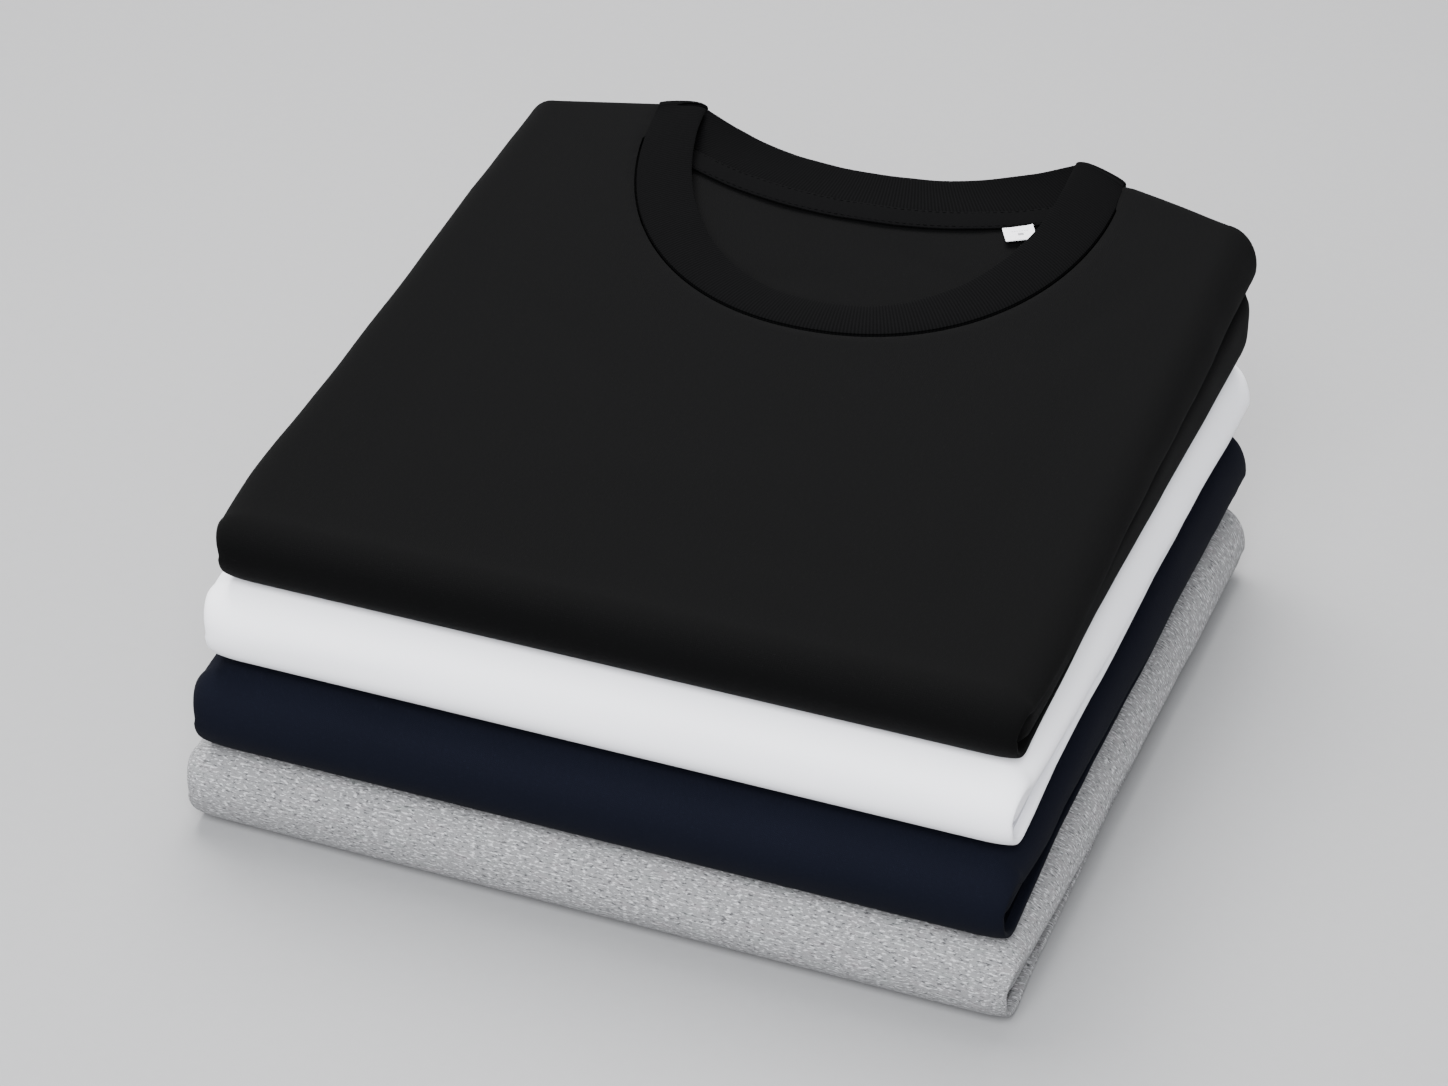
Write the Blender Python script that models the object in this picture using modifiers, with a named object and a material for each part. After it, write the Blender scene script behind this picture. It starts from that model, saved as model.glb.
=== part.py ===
"""A stack of four folded crew-neck t-shirts: grey, navy, white, and black on top.

Each shirt is folded to a packet.  Its front panel is a wall that lies over the top, drapes
over the two sides and the back edge to a lip, turns round the front fold and runs back
underneath.  The layers folded inside share one rounded solid, whose sides show below the
lip.  The black shirt also shows its neck: the inside of the back panel, a rib collar, a
neck tape and a size label.  Metres, +X right along the front folds, +Y to the neck, +Z up.
"""

import math
from collections import namedtuple

import bmesh
import bpy
from mathutils import Vector

WALL = 0.0012            # one jersey panel
GAP = 0.0004             # clearance between pieces that are sewn or laid together
SLOT = 0.0012            # air under a side lip, above the pack it rests on
DRAPE = 0.012            # how far in from a side the panel starts to round over
BACK_DRAPE = 0.0075      # the same at the back edge, a sharper fold
TUCK_IN = 0.7            # a tucked lip goes in by this share of its height
RETURN = 0.0025          # flat return behind the tucked lip
BACK_TUCK = 0.0008       # the same turn along the back edge, where it stays short
UNDER_LIP = 0.0030       # height of the panel's edge where it runs underneath
CORNER = 0.010           # plan radius of the back corners
SHOULDER_HALF = 0.092    # half width of the straight back edge between the shoulders
FOLD_INSET = 0.0064      # the front fold is narrower than the packet by this at the left
FOLD_INSET_RIGHT = 0.0035
PACK_INSET = 0.0012      # the pack's sides stand this far inside the lip
LAYER = 0.0048           # height of one folded layer; thin slits part them at the back
SLIT_HEIGHT = 0.0009
SLIT_DEPTH = 0.0045

ROUND_STEPS = 4          # steps in the big round of the drape
TUCK_STEPS = 2
TURN_STEPS = 7           # steps round the front fold
CORNER_STEPS = 3
BACK_STEPS = 6
PACK_STEPS = 5

# The neck, in its own plan frame: u to the right, w back from the shoulder line.
NECK_CENTRE = Vector((0.001, 0.141))
NECK_TURN = math.radians(3.0)
NECK_LEAN = 0.055        # the front of the neck has slipped to the right by this share
SEAM_HALF = 0.091        # half width of the collar seam at the shoulders
SEAM_DROP = 0.1105       # from the shoulder line to the lowest point of the front seam
EDGE_HALF = 0.071        # half width of the collar's free edge
EDGE_DROP = 0.0960       # depth of the free edge's front curve, from its peaks
PEAK_RISE = 0.006        # the free edge's peaks stand this far behind the shoulder line
BACK_SEAM_DROP = 0.0290  # lowest point of the back seam
BACK_EDGE_DROP = 0.015   # the free edge's dip at the back, from its peaks
ROUNDNESS = 2.12         # exponent of the neck's curves
RIB = 0.0018             # thickness of the rib
RIB_FOLD = 0.0020        # radius of the rib's fold at each shoulder
PEAK_LIFT = 0.0030       # the rib stands up at the peaks
FRONT_SAG = 0.0028       # and leans in at the front
BACK_SAG = 0.0065        # depth of the free edge at the back, under the top
BACK_SEAM_DEPTH = 0.0046
PANEL_DIP = 0.0040       # the back panel sinks this much on its way to the front
TAPE_WIDTH = 0.0105
TAPE = 0.0007
LABEL_WIDTH = 0.0120
LABEL_SHOWS = 0.0088     # length of the label in front of the tape
LABEL = 0.0005
LABEL_PLACE = 0.0565     # along u, from the neck's middle
LABEL_TURN = math.radians(21.0)
RECESS = 0.0105          # depth of the hollow in the layers below the neck
BEHIND = -0.0055         # the upper layers are drawn in behind this line, under the collar
BEHIND_DEPTH = 0.0225    # depth of that space
NECK_CLEAR = 0.0005      # the front panel stops this far outside the collar seam
SHOULDER_CLEAR = 0.0034  # and this far at the shoulder, where the rib turns under

Shirt = namedtuple("Shirt", "name colour left right front back base thick lift "
                   "lip lip_back tuck tuck_back fall")
SHIRTS = [
    Shirt("grey", (0.430, 0.430, 0.445), -0.1505, 0.1518, -0.1515, 0.1455, 0.0000,
          0.0292, 0.0292, 0.0195, 0.0120, 0.0026, 0.0070, 0.008),
    Shirt("navy", (0.007, 0.011, 0.021), -0.1465, 0.1484, -0.1491, 0.1490, 0.0295,
          0.0302, 0.0302, 0.0200, 0.0120, 0.0026, 0.0070, 0.008),
    Shirt("white", (0.800, 0.790, 0.830), -0.1450, 0.1472, -0.1400, 0.1490, 0.0600,
          0.0303, 0.0303, 0.0200, 0.0120, 0.0026, 0.0070, 0.008),
    Shirt("black", (0.010, 0.010, 0.011), -0.1413, 0.1457, -0.1337, 0.1515, 0.0906,
          0.0250, 0.0575, 0.0160, 0.0320, 0.0022, 0.0090, 0.010),
]
TOP_SHIRT = SHIRTS[-1]


def along(shirt, y):
    """0 at the front fold's axis, 1 at the back edge."""
    start = shirt.front + shirt.thick / 2
    return (y - start) / (shirt.back - start)


def top_at(shirt, y):
    return shirt.base + shirt.thick + (shirt.lift - shirt.thick) * along(shirt, y)


def lip_at(shirt, y):
    """Height of the side lip, which is where the panel's drape ends."""
    return shirt.base + shirt.lip + (shirt.lip_back - shirt.lip) * along(shirt, y)


def tuck_at(shirt, y):
    """Height of the lip's own underside, where it turns back in."""
    return shirt.tuck + (shirt.tuck_back - shirt.tuck) * min(max(along(shirt, y), 0.0), 1.0)


def corner_inset(shirt, y):
    """How far the plan's side moves in as it rounds a back corner."""
    past = (y - (shirt.back - shirt.fall - CORNER)) / CORNER
    past = min(max(past, 0.0), 0.97)
    return CORNER * (1 - math.sqrt(1 - past * past))


def drape(depth, tuck, back, reach=DRAPE):
    """The panel's side: (inward, down) from the flat top, over the round, to the lip."""
    points = []
    for step in range(ROUND_STEPS + 1):
        angle = math.pi / 2 * step / ROUND_STEPS
        points.append((reach * (1 - math.sin(angle)), (depth - tuck) * (1 - math.cos(angle))))
    for step in range(1, TUCK_STEPS + 1):
        angle = math.pi / 2 * step / TUCK_STEPS
        points.append((TUCK_IN * tuck * (1 - math.cos(angle)),
                       depth - tuck + tuck * math.sin(angle)))
    points.append((TUCK_IN * tuck + back, depth))
    return points


def material(name, colour, roughness=0.9):
    made = bpy.data.materials.new(name)
    made.use_nodes = True
    shader = made.node_tree.nodes["Principled BSDF"]
    shader.inputs["Base Color"].default_value = (*colour, 1.0)
    shader.inputs["Roughness"].default_value = roughness
    shader.inputs["Metallic"].default_value = 0.0
    return made


def new_object(name, mesh, made, collection):
    made_object = bpy.data.objects.new(name, mesh)
    collection.objects.link(made_object)
    made_object.data.materials.append(made)
    return made_object


def mesh_from(name, points, faces):
    """A triangulated mesh of the points and faces, its faces turned outward."""
    mesh = bpy.data.meshes.new(name)
    mesh.from_pydata([tuple(point) for point in points], [], faces)
    build = bmesh.new()
    build.from_mesh(mesh)
    bmesh.ops.recalc_face_normals(build, faces=build.faces)
    bmesh.ops.triangulate(build, faces=build.faces)
    build.to_mesh(mesh)
    build.free()
    return mesh


def loft(rings, closed=False):
    """Points and faces of closed rings joined in order; the ends are capped unless closed."""
    count = len(rings[0])
    points = [point for ring in rings for point in ring]
    faces = []
    spans = len(rings) if closed else len(rings) - 1
    for row in range(spans):
        here, there = row * count, (row + 1) % len(rings) * count
        for step in range(count):
            after = (step + 1) % count
            faces.append((here + step, here + after, there + after, there + step))
    if not closed:
        faces.append(tuple(range(count)))
        faces.append(tuple(range(len(points) - count, len(points))))
    return points, faces


def cut(target, cutter):
    """Take the cutter away from the target, and leave no modifier behind."""
    modifier = target.modifiers.new("Cut", "BOOLEAN")
    modifier.operation = "DIFFERENCE"
    modifier.solver = "EXACT"
    modifier.object = cutter
    bpy.context.view_layer.update()
    evaluated = target.evaluated_get(bpy.context.evaluated_depsgraph_get())
    result = bpy.data.meshes.new_from_object(evaluated)
    target.modifiers.remove(modifier)
    target.data = result
    bpy.data.objects.remove(cutter)


# ---------------------------------------------------------------- the front panel


def panel_row(shirt, y, z, inward, depth, inset=(0.0, 0.0), bow=0.0):
    """One row across the panel: left lip and round, flat (bowed back), right round and lip."""
    down_y, down_z = inward
    profile = drape(depth, min(tuck_at(shirt, y), depth * 0.5), RETURN)
    left, right = shirt.left + inset[0], shirt.right - inset[1]
    row = [(left + side, y + down_y * down, z + down_z * down) for side, down in reversed(profile)]
    row += [(x, y + bow, z) for x in (-SHOULDER_HALF, 0.0, SHOULDER_HALF)]
    row += [(right - side, y + down_y * down, z + down_z * down) for side, down in profile]
    return row


def fold_inset(share):
    """How far the two ends of the front fold stand in, at a share of the whole."""
    return FOLD_INSET * share, FOLD_INSET_RIGHT * share


def back_outline(shirt):
    """Plan of the back: left corner, shoulders and right corner, left to right."""
    corner_y = shirt.back - shirt.fall - CORNER
    left_x, right_x = shirt.left + CORNER, shirt.right - CORNER
    outline = [(shirt.left, corner_y)]
    for step in range(1, CORNER_STEPS + 1):
        angle = math.pi / 2 * step / CORNER_STEPS
        outline.append((left_x - CORNER * math.cos(angle), corner_y + CORNER * math.sin(angle)))
    for step in range(BACK_STEPS + 1):
        x = -SHOULDER_HALF + 2 * SHOULDER_HALF * step / BACK_STEPS
        outline.append((x, shirt.back))
    for step in range(CORNER_STEPS + 1):
        angle = math.pi / 2 * step / CORNER_STEPS
        outline.append((right_x + CORNER * math.sin(angle), corner_y + CORNER * math.cos(angle)))
    return outline


def plan_normals(outline):
    """Unit vectors into the shirt at each point of the back outline."""
    normals = []
    for index, point in enumerate(outline):
        before = outline[max(index - 1, 0)]
        after = outline[min(index + 1, len(outline) - 1)]
        run = Vector((after[0] - before[0], after[1] - before[1])).normalized()
        normals.append(Vector((run.y, -run.x)))
    normals[0] = Vector((1.0, 0.0))
    normals[-1] = Vector((-1.0, 0.0))
    return normals


def front_panel(shirt, made, collection):
    """The outer wall: top, back edge, sides, front fold and underneath."""
    radius = shirt.thick / 2
    axis_y, axis_z = shirt.front + radius, shirt.base + radius
    back_y = shirt.back - shirt.fall - CORNER
    rows = []
    for step in range(4):
        y = back_y + (axis_y - back_y) * step / 3
        z = top_at(shirt, y)
        rows.append(panel_row(shirt, y, z, (0.0, -1.0), z - lip_at(shirt, y)))
    for step in range(1, TURN_STEPS):
        angle = math.pi / 2 + math.pi * step / TURN_STEPS
        out_y, out_z = math.cos(angle), math.sin(angle)
        fade = max(0.0, 1 - step / (0.6 * TURN_STEPS)) ** 1.5
        depth = UNDER_LIP + (shirt.thick - shirt.lip - UNDER_LIP) * fade
        narrow = 1 - math.sqrt(1 - out_y * out_y * 0.96)
        narrow = max(narrow, 0.8 if out_z < -0.5 else 0.0)
        rows.append(panel_row(shirt, axis_y + radius * out_y, axis_z + radius * out_z,
                              (-out_y, -out_z), depth, fold_inset(narrow)))
    hem_y = shirt.back - shirt.fall - 0.004
    for step in range(4):
        y = axis_y + (hem_y - axis_y) * step / 3
        if step == 0:
            inset = fold_inset(0.75)
        else:
            inset = (corner_inset(shirt, y), corner_inset(shirt, y))
        rows.append(panel_row(shirt, y, shirt.base, (0.0, 1.0), UNDER_LIP,
                              inset, shirt.fall * max(0, step - 1) / 2))

    count = len(rows[0])
    points = [point for row in rows for point in row]
    faces = []
    for row in range(len(rows) - 1):
        for step in range(count - 1):
            start = row * count + step
            faces.append((start, start + 1, start + count + 1, start + count))

    outline = back_outline(shirt)
    normals = plan_normals(outline)
    side = len(drape(0.01, shirt.tuck, RETURN))
    columns = [list(range(side - 1, -1, -1))]
    for place, normal in list(zip(outline, normals))[1:-1]:
        turned = abs(normal.x)
        tuck = BACK_TUCK + (tuck_at(shirt, place[1]) - BACK_TUCK) * turned
        reach = BACK_DRAPE + (0.9 * CORNER - BACK_DRAPE) * turned
        depth = top_at(shirt, place[1]) - lip_at(shirt, place[1])
        back = BACK_TUCK + (RETURN - BACK_TUCK) * turned
        column = []
        for inward, down in drape(depth, tuck, back, reach):
            x, y = place[0] + normal.x * inward, place[1] + normal.y * inward
            column.append(len(points))
            points.append((x, y, top_at(shirt, y) - down))
        columns.append(column)
    columns.append(list(range(count - side, count)))
    for here, there in zip(columns, columns[1:]):
        for step in range(side - 1):
            faces.append((here[step], there[step], there[step + 1], here[step + 1]))
    rim = [column[0] for column in columns] + list(range(count - side - 1, side - 1, -1))
    faces.append(tuple(rim))

    name = shirt.name + "_front"
    panel = new_object(name, mesh_from(name, points, faces), made, collection)
    wall = panel.modifiers.new("Wall", "SOLIDIFY")
    wall.thickness = WALL
    wall.offset = -1.0 if faces_out(panel.data) else 1.0
    wall.use_even_offset = True
    apply_modifiers(panel)
    return panel


def faces_out(mesh):
    """True when the highest face points up."""
    highest = max(mesh.polygons, key=lambda face: face.center.z)
    return highest.normal.z > 0


def apply_modifiers(target):
    bpy.context.view_layer.update()
    evaluated = target.evaluated_get(bpy.context.evaluated_depsgraph_get())
    result = bpy.data.meshes.new_from_object(evaluated)
    target.modifiers.clear()
    target.data = result


# ---------------------------------------------------------------- the layers inside


def layers_top(shirt, y, past):
    """Height of the layers' top; past runs 0 to 1 over the round inside the back edge."""
    lip, top = lip_at(shirt, y), top_at(shirt, y) - WALL - GAP
    if past <= 0:
        return top
    low = lip - SLOT - 2 * GAP if past >= 1 else lip
    return low + (top - low) * math.sqrt(max(1 - past * past, 0.0))


def pack_side(shirt, y, past):
    """Half a slice of the layers at y, from the bottom up: (inward from the side, height)."""
    clear = WALL + GAP
    radius = shirt.thick / 2
    axis_y, axis_z = shirt.front + radius, shirt.base + radius
    inside = DRAPE + RETURN + FOLD_INSET + 2 * GAP
    reach = axis_y - y
    bottom, top = shirt.base + clear, layers_top(shirt, y, past)
    if reach > 0:
        half = math.sqrt(max((radius - clear) ** 2 - reach ** 2, 0.0))
        bottom, top = axis_z - half, axis_z + half

    low = shirt.base + UNDER_LIP + 2 * GAP
    high = lip_at(shirt, max(y, axis_y)) - SLOT
    middle, half = (low + high) / 2, (high - low) / 2
    nose = shirt.front + 2.4 * UNDER_LIP
    shows = min(max((y - nose) / half, 0.0), 1.0)
    rounded = math.sqrt(1 - (1 - shows) ** 2)
    front_inset = FOLD_INSET_RIGHT * max(0.0, 1 - (y - shirt.front) / (2 * shirt.thick))
    edge = inside + (PACK_INSET + front_inset - inside) * rounded + corner_inset(shirt, y)
    half *= rounded
    side = [(inside, bottom)]
    for step in range(PACK_STEPS + 1):
        angle = math.pi * (step / PACK_STEPS - 0.5)
        out = math.cos(angle) ** 0.45 if 0 < step < PACK_STEPS else 0.0
        flat = bottom + (top - bottom) * (step + 1) / (PACK_STEPS + 2)
        height = flat + (middle + half * math.sin(angle) - flat) * rounded
        side.append((inside + (edge - inside) * out, height))
    side.append((inside, max(top, high + GAP) if reach <= 0 else top))
    return side


def layers(shirt, made, collection):
    """The layers folded inside, as one rounded solid with slits at its back edge."""
    clear = WALL + GAP
    radius = shirt.thick / 2
    axis_y = shirt.front + radius
    end_y = shirt.back - WALL - 2 * BACK_TUCK - 2 * GAP
    round_start = end_y - (BACK_DRAPE - clear)
    fall_start = shirt.back - 4 * CORNER
    stations = [axis_y - (radius - clear) * math.cos(math.radians(angle))
                for angle in (12, 30, 50, 70, 90)]
    stations += [axis_y + (fall_start - axis_y) * step / 2 for step in (1, 2)]
    stations += [round_start + (end_y - round_start) * past for past in (0, 0.5, 0.8, 0.95, 1)]
    rings = []
    for y in stations:
        past = (y - round_start) / (end_y - round_start)
        fallen = min(max((y - fall_start) / (round_start - fall_start), 0.0), 1.0)
        side_y = y - shirt.fall * fallen
        side = pack_side(shirt, side_y, past)
        ring = [(shirt.left + inward, side_y, z) for inward, z in side]
        for x in (-SHOULDER_HALF, SHOULDER_HALF):
            top = max(layers_top(shirt, y, past), side[-2][1] + GAP) if y > axis_y else side[-1][1]
            ring.append((x, y, top))
        ring += [(shirt.right - inward, side_y, z) for inward, z in reversed(side)]
        for x in (SHOULDER_HALF, -SHOULDER_HALF):
            ring.append((x, y, side[0][1]))
        rings.append(ring)
    name = shirt.name + "_layers"
    solid = new_object(name, mesh_from(name, *loft(rings)), made, collection)
    low, high = UNDER_LIP + 0.002, shirt.lip_back - 0.002
    slits = max(2, int((high - low) / LAYER))
    for slit in range(slits):
        z = shirt.base + low + (high - low) * (slit + 0.5) / slits
        bpy.ops.mesh.primitive_cube_add(size=1.0, location=(0.0, shirt.back, z))
        cutter = bpy.context.object
        cutter.scale = (2 * SHOULDER_HALF + 0.02, 4 * SLIT_DEPTH, SLIT_HEIGHT)
        bpy.ops.object.transform_apply(location=False, rotation=False, scale=True)
        cut(solid, cutter)
    return solid


# ---------------------------------------------------------------- the neck


def neck(u, w, depth=0.0):
    """A point of the neck's own frame, a depth below the black shirt's top."""
    u -= NECK_LEAN * min(w, 0.0)
    x = NECK_CENTRE.x + u * math.cos(NECK_TURN) - w * math.sin(NECK_TURN)
    y = NECK_CENTRE.y + u * math.sin(NECK_TURN) + w * math.cos(NECK_TURN)
    return Vector((x, y, top_at(TOP_SHIRT, y) - depth))


def front_curve(half, drop, turn, shift=0.0):
    """The neck's front curve at turn, 0 at the left shoulder and 1 at the right."""
    angle = math.pi * turn
    across, down = math.cos(angle), math.sin(angle)
    u = -half * math.copysign(abs(across) ** (2 / ROUNDNESS), across)
    return u, shift - drop * abs(down) ** (2 / ROUNDNESS)


def back_curve(half, drop, turn, shift=0.0):
    """The neck's back curve at turn, 0 at the left shoulder and 1 at the right."""
    share = 2 * turn - 1
    return half * share, shift - drop * (1 - abs(share) ** 2.2)


def rib_section(seam, edge, face):
    """Six points round the rib where its seam and free edge are joined, face outward."""
    half = face.normalized() * (RIB / 2)
    middle = (seam + edge) / 2 + face.normalized() * 0.0003
    return [seam + half, middle + half, edge + half * 0.8,
            edge - half * 0.8, middle - half, seam - half]


def collar(made, collection):
    """The rib ring: over the front, folded at each shoulder and lying back inside."""
    skin = WALL / 2
    rings = []
    front_steps, back_steps = 26, 12

    def front_pair(turn):
        middle = math.sin(math.pi * turn)
        u, w = front_curve(SEAM_HALF, SEAM_DROP, turn)
        seam = neck(u, w, skin)
        u, w = front_curve(EDGE_HALF, EDGE_DROP, turn, PEAK_RISE)
        return seam, neck(u, w, skin + FRONT_SAG * middle - PEAK_LIFT * (1 - middle))

    def back_pair(turn):
        middle = math.sin(math.pi * turn)
        u, w = back_curve(SEAM_HALF, BACK_SEAM_DROP, turn)
        seam = neck(u, w, BACK_SEAM_DEPTH)
        u, w = back_curve(EDGE_HALF, BACK_EDGE_DROP, turn, PEAK_RISE)
        peak = skin - PEAK_LIFT + 2 * RIB_FOLD
        return seam, neck(u, w, peak + (BACK_SAG - peak) * middle)

    def fold(front, back):
        """Sections round a shoulder's fold, from the front pair to the back pair."""
        outward = (front[1] - front[0]).cross(Vector((0, 0, 1))).normalized()
        if outward.y < 0:
            outward.negate()
        made_rings = []
        for angle in (45, 90, 135):
            turn = math.radians(angle)
            face = Vector((0, 0, 1)) * math.cos(turn) + outward * math.sin(turn)
            pair = []
            for start, end in zip(front, back):
                centre = (start + end) / 2
                pair.append(centre + face * RIB_FOLD)
            made_rings.append(rib_section(*pair, face))
        return made_rings

    for step in range(front_steps + 1):
        rings.append(rib_section(*front_pair(step / front_steps), Vector((0, 0, 1))))
    rings += fold(front_pair(1.0), back_pair(1.0))
    for step in range(back_steps + 1):
        rings.append(rib_section(*back_pair(1 - step / back_steps), Vector((0, 0, -1))))
    rings += reversed(fold(front_pair(0.0), back_pair(0.0)))
    points, faces = loft(rings, closed=True)
    return new_object("black_collar", mesh_from("black_collar", points, faces), made, collection)


def plate(name, front_edge, back_edge, thickness, made, collection):
    """A thin sheet between two rows of points, thickened downward."""
    down = Vector((0, 0, -thickness))
    rings = []
    for near, far in zip(front_edge, back_edge):
        middle = (near + far) / 2
        rings.append([near, middle, far, far + down, middle + down, near + down])
    points, faces = loft(rings)
    return new_object(name, mesh_from(name, points, faces), made, collection)


def back_panel(made, collection):
    """The back panel's inside, seen through the neck."""
    near, far = [], []
    steps = 10
    top = BACK_SEAM_DEPTH - WALL / 2
    for step in range(steps + 1):
        turn = 0.5 + 0.465 * (2 * step / steps - 1)
        u, w = back_curve(SEAM_HALF, BACK_SEAM_DROP, turn)
        far.append(neck(u, w - GAP, top))
        arch = (1 - abs(u / (SEAM_HALF - 0.002)) ** ROUNDNESS) ** (1 / ROUNDNESS)
        near.append(neck(u, -(SEAM_DROP - 0.003) * arch, top + PANEL_DIP * arch))
    return plate("black_back", near, far, WALL, made, collection)


def neck_tape(made, collection):
    """The tape along the back seam, laid on the back panel."""
    near, far = [], []
    steps = 10
    for step in range(steps + 1):
        turn = 0.06 + 0.88 * step / steps
        u, w = back_curve(SEAM_HALF, BACK_SEAM_DROP, turn)
        rest = BACK_SEAM_DEPTH - WALL / 2 - GAP - TAPE
        far.append(neck(u, w - GAP, rest))
        near.append(neck(u, w - TAPE_WIDTH, rest))
    return plate("black_neck_tape", near, far, TAPE, made, collection)


def size_label(made, collection):
    """The woven label below the tape, on the back panel."""
    turn = 0.5 + LABEL_PLACE / SEAM_HALF / 2
    u, w = back_curve(SEAM_HALF, BACK_SEAM_DROP, turn)
    rest = BACK_SEAM_DEPTH - WALL / 2 - GAP - LABEL
    start = w - TAPE_WIDTH - GAP
    along_tape = Vector((math.cos(LABEL_TURN), math.sin(LABEL_TURN)))
    forward = Vector((along_tape.y, -along_tape.x))
    near, far = [], []
    for share in (-0.5, 0.5):
        top = Vector((u, start)) + along_tape * LABEL_WIDTH * share
        low = top + forward * LABEL_SHOWS
        far.append(neck(*top, rest))
        near.append(neck(*low, rest + 0.0004))
    return plate("black_size_label", near, far, LABEL, made, collection)


def neck_prism(plan, low, collection):
    """A prism of a plan in the neck's frame, from a depth below the top upward."""
    rings = [[neck(u, w, depth) for u, w in plan] for depth in (low, -0.02)]
    return new_object("Neck cutter", mesh_from("Neck cutter", *loft(rings)),
                      bpy.data.materials["black jersey"], collection)


def neck_plan():
    """The neck's plan, a little outside the collar seam and open to the back."""
    steps = 24
    plan = [front_curve(SEAM_HALF + NECK_CLEAR, SEAM_DROP + NECK_CLEAR, step / steps)
            for step in range(steps + 1)]
    plan = [point for point in plan if point[1] < -0.008]
    wide = SEAM_HALF + SHOULDER_CLEAR
    return [(-wide, 0.06), (-wide, -0.006)] + plan + [(wide, -0.006), (wide, 0.06)]


def behind_plan():
    """The plan of the space behind the collar, where the upper layers are drawn in."""
    wide = SEAM_HALF + SHOULDER_CLEAR
    return [(-wide, 0.05), (-wide, BEHIND), (wide, BEHIND), (wide, 0.05)]


# ---------------------------------------------------------------- the whole stack


def stand_on_origin(objects):
    """Move everything so that the origin is the middle of the underside."""
    corners = [vertex.co for item in objects for vertex in item.data.vertices]
    low = Vector([min(corner[axis] for corner in corners) for axis in range(3)])
    high = Vector([max(corner[axis] for corner in corners) for axis in range(3)])
    shift = Vector((-(low.x + high.x) / 2, -(low.y + high.y) / 2, -low.z))
    for item in objects:
        for vertex in item.data.vertices:
            vertex.co += shift


def main():
    for item in list(bpy.data.objects):
        bpy.data.objects.remove(item)
    collection = bpy.data.collections.new("Folded t-shirts")
    bpy.context.scene.collection.children.link(collection)

    made = []
    for shirt in SHIRTS:
        jersey = material(shirt.name + " jersey", shirt.colour)
        made.append(front_panel(shirt, jersey, collection))
        made.append(layers(shirt, jersey, collection))
    black = bpy.data.materials["black jersey"]
    front, inside = made[-2], made[-1]
    cut(front, neck_prism(neck_plan(), BEHIND_DEPTH, collection))
    cut(inside, neck_prism(neck_plan(), RECESS, collection))
    cut(inside, neck_prism(behind_plan(), BEHIND_DEPTH, collection))
    made.append(back_panel(black, collection))
    made.append(collar(material("black rib", (0.011, 0.011, 0.012)), collection))
    made.append(neck_tape(material("black tape", (0.012, 0.012, 0.013)), collection))
    made.append(size_label(material("label satin", (0.74, 0.74, 0.77), 0.6), collection))
    stand_on_origin(made)


main()
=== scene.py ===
# %% [markdown]
# # A stack of four folded t-shirts
#
# Four crew-neck t-shirts lie on a table, folded to packets: heather grey at the bottom,
# then navy, white, and black on top with its neck showing.  The imported CAD model gives
# the sizes and places; this lesson dresses each piece of it in cloth.
#
# Everything is in metres, +X to the right along the front folds, +Y back to the neck,
# +Z up.  The first cell loads the frame.

import math
from collections import namedtuple

import bpy
import numpy as np
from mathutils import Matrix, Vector


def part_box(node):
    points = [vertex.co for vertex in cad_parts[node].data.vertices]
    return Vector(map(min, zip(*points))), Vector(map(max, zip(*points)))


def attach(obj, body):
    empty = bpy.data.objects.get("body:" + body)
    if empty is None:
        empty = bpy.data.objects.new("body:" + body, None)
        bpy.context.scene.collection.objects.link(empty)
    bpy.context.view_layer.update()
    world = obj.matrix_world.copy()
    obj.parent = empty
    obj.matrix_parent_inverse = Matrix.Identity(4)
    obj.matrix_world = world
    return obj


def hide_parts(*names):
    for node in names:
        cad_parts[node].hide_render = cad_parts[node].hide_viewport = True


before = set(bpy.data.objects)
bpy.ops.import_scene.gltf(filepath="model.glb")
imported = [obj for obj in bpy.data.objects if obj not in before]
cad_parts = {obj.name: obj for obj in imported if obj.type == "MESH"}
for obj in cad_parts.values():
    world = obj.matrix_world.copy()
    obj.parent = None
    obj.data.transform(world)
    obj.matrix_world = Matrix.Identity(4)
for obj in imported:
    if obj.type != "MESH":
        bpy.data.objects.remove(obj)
bpy.ops.object.select_all(action="DESELECT")
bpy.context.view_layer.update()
print("nodes:", ", ".join(sorted(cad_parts)))

# %% [markdown]
# ## Camera, floor and light
#
# The stack is looked at from its front right, about 34 degrees above the table, with a
# long lens so that the packets' sides stay nearly parallel.  A few large soft lights are
# what a studio would use for dark cloth: the overhead light draws the folds' round
# edges, the fill keeps the front folds from going black, and a weak light from the right
# lifts the side a little.

# %% Camera
AZIMUTH, ELEVATION, DISTANCE = math.radians(21.59), math.radians(33.99), 1.354
LOOK_AT = Vector((-0.0119, 0.0095, 0.050))

toward_camera = Vector((math.sin(AZIMUTH) * math.cos(ELEVATION),
                        -math.cos(AZIMUTH) * math.cos(ELEVATION),
                        math.sin(ELEVATION)))
bpy.ops.object.camera_add(location=LOOK_AT + toward_camera * DISTANCE)
camera = bpy.context.object
camera.name = "camera"
camera.rotation_euler = (-toward_camera).to_track_quat("-Z", "Y").to_euler()
camera.data.sensor_width = 36.0
camera.data.lens = 93.94
camera.data.clip_start, camera.data.clip_end = 0.05, 20.0
bpy.context.scene.camera = camera
print("camera at", [round(v, 3) for v in camera.location])

# %% Floor
bpy.ops.mesh.primitive_plane_add(size=6.0, location=(0.0, 0.0, -0.0002))
floor = bpy.context.object
floor.name = "floor"
print("floor is", round(floor.dimensions.x, 1), "m wide")


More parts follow.
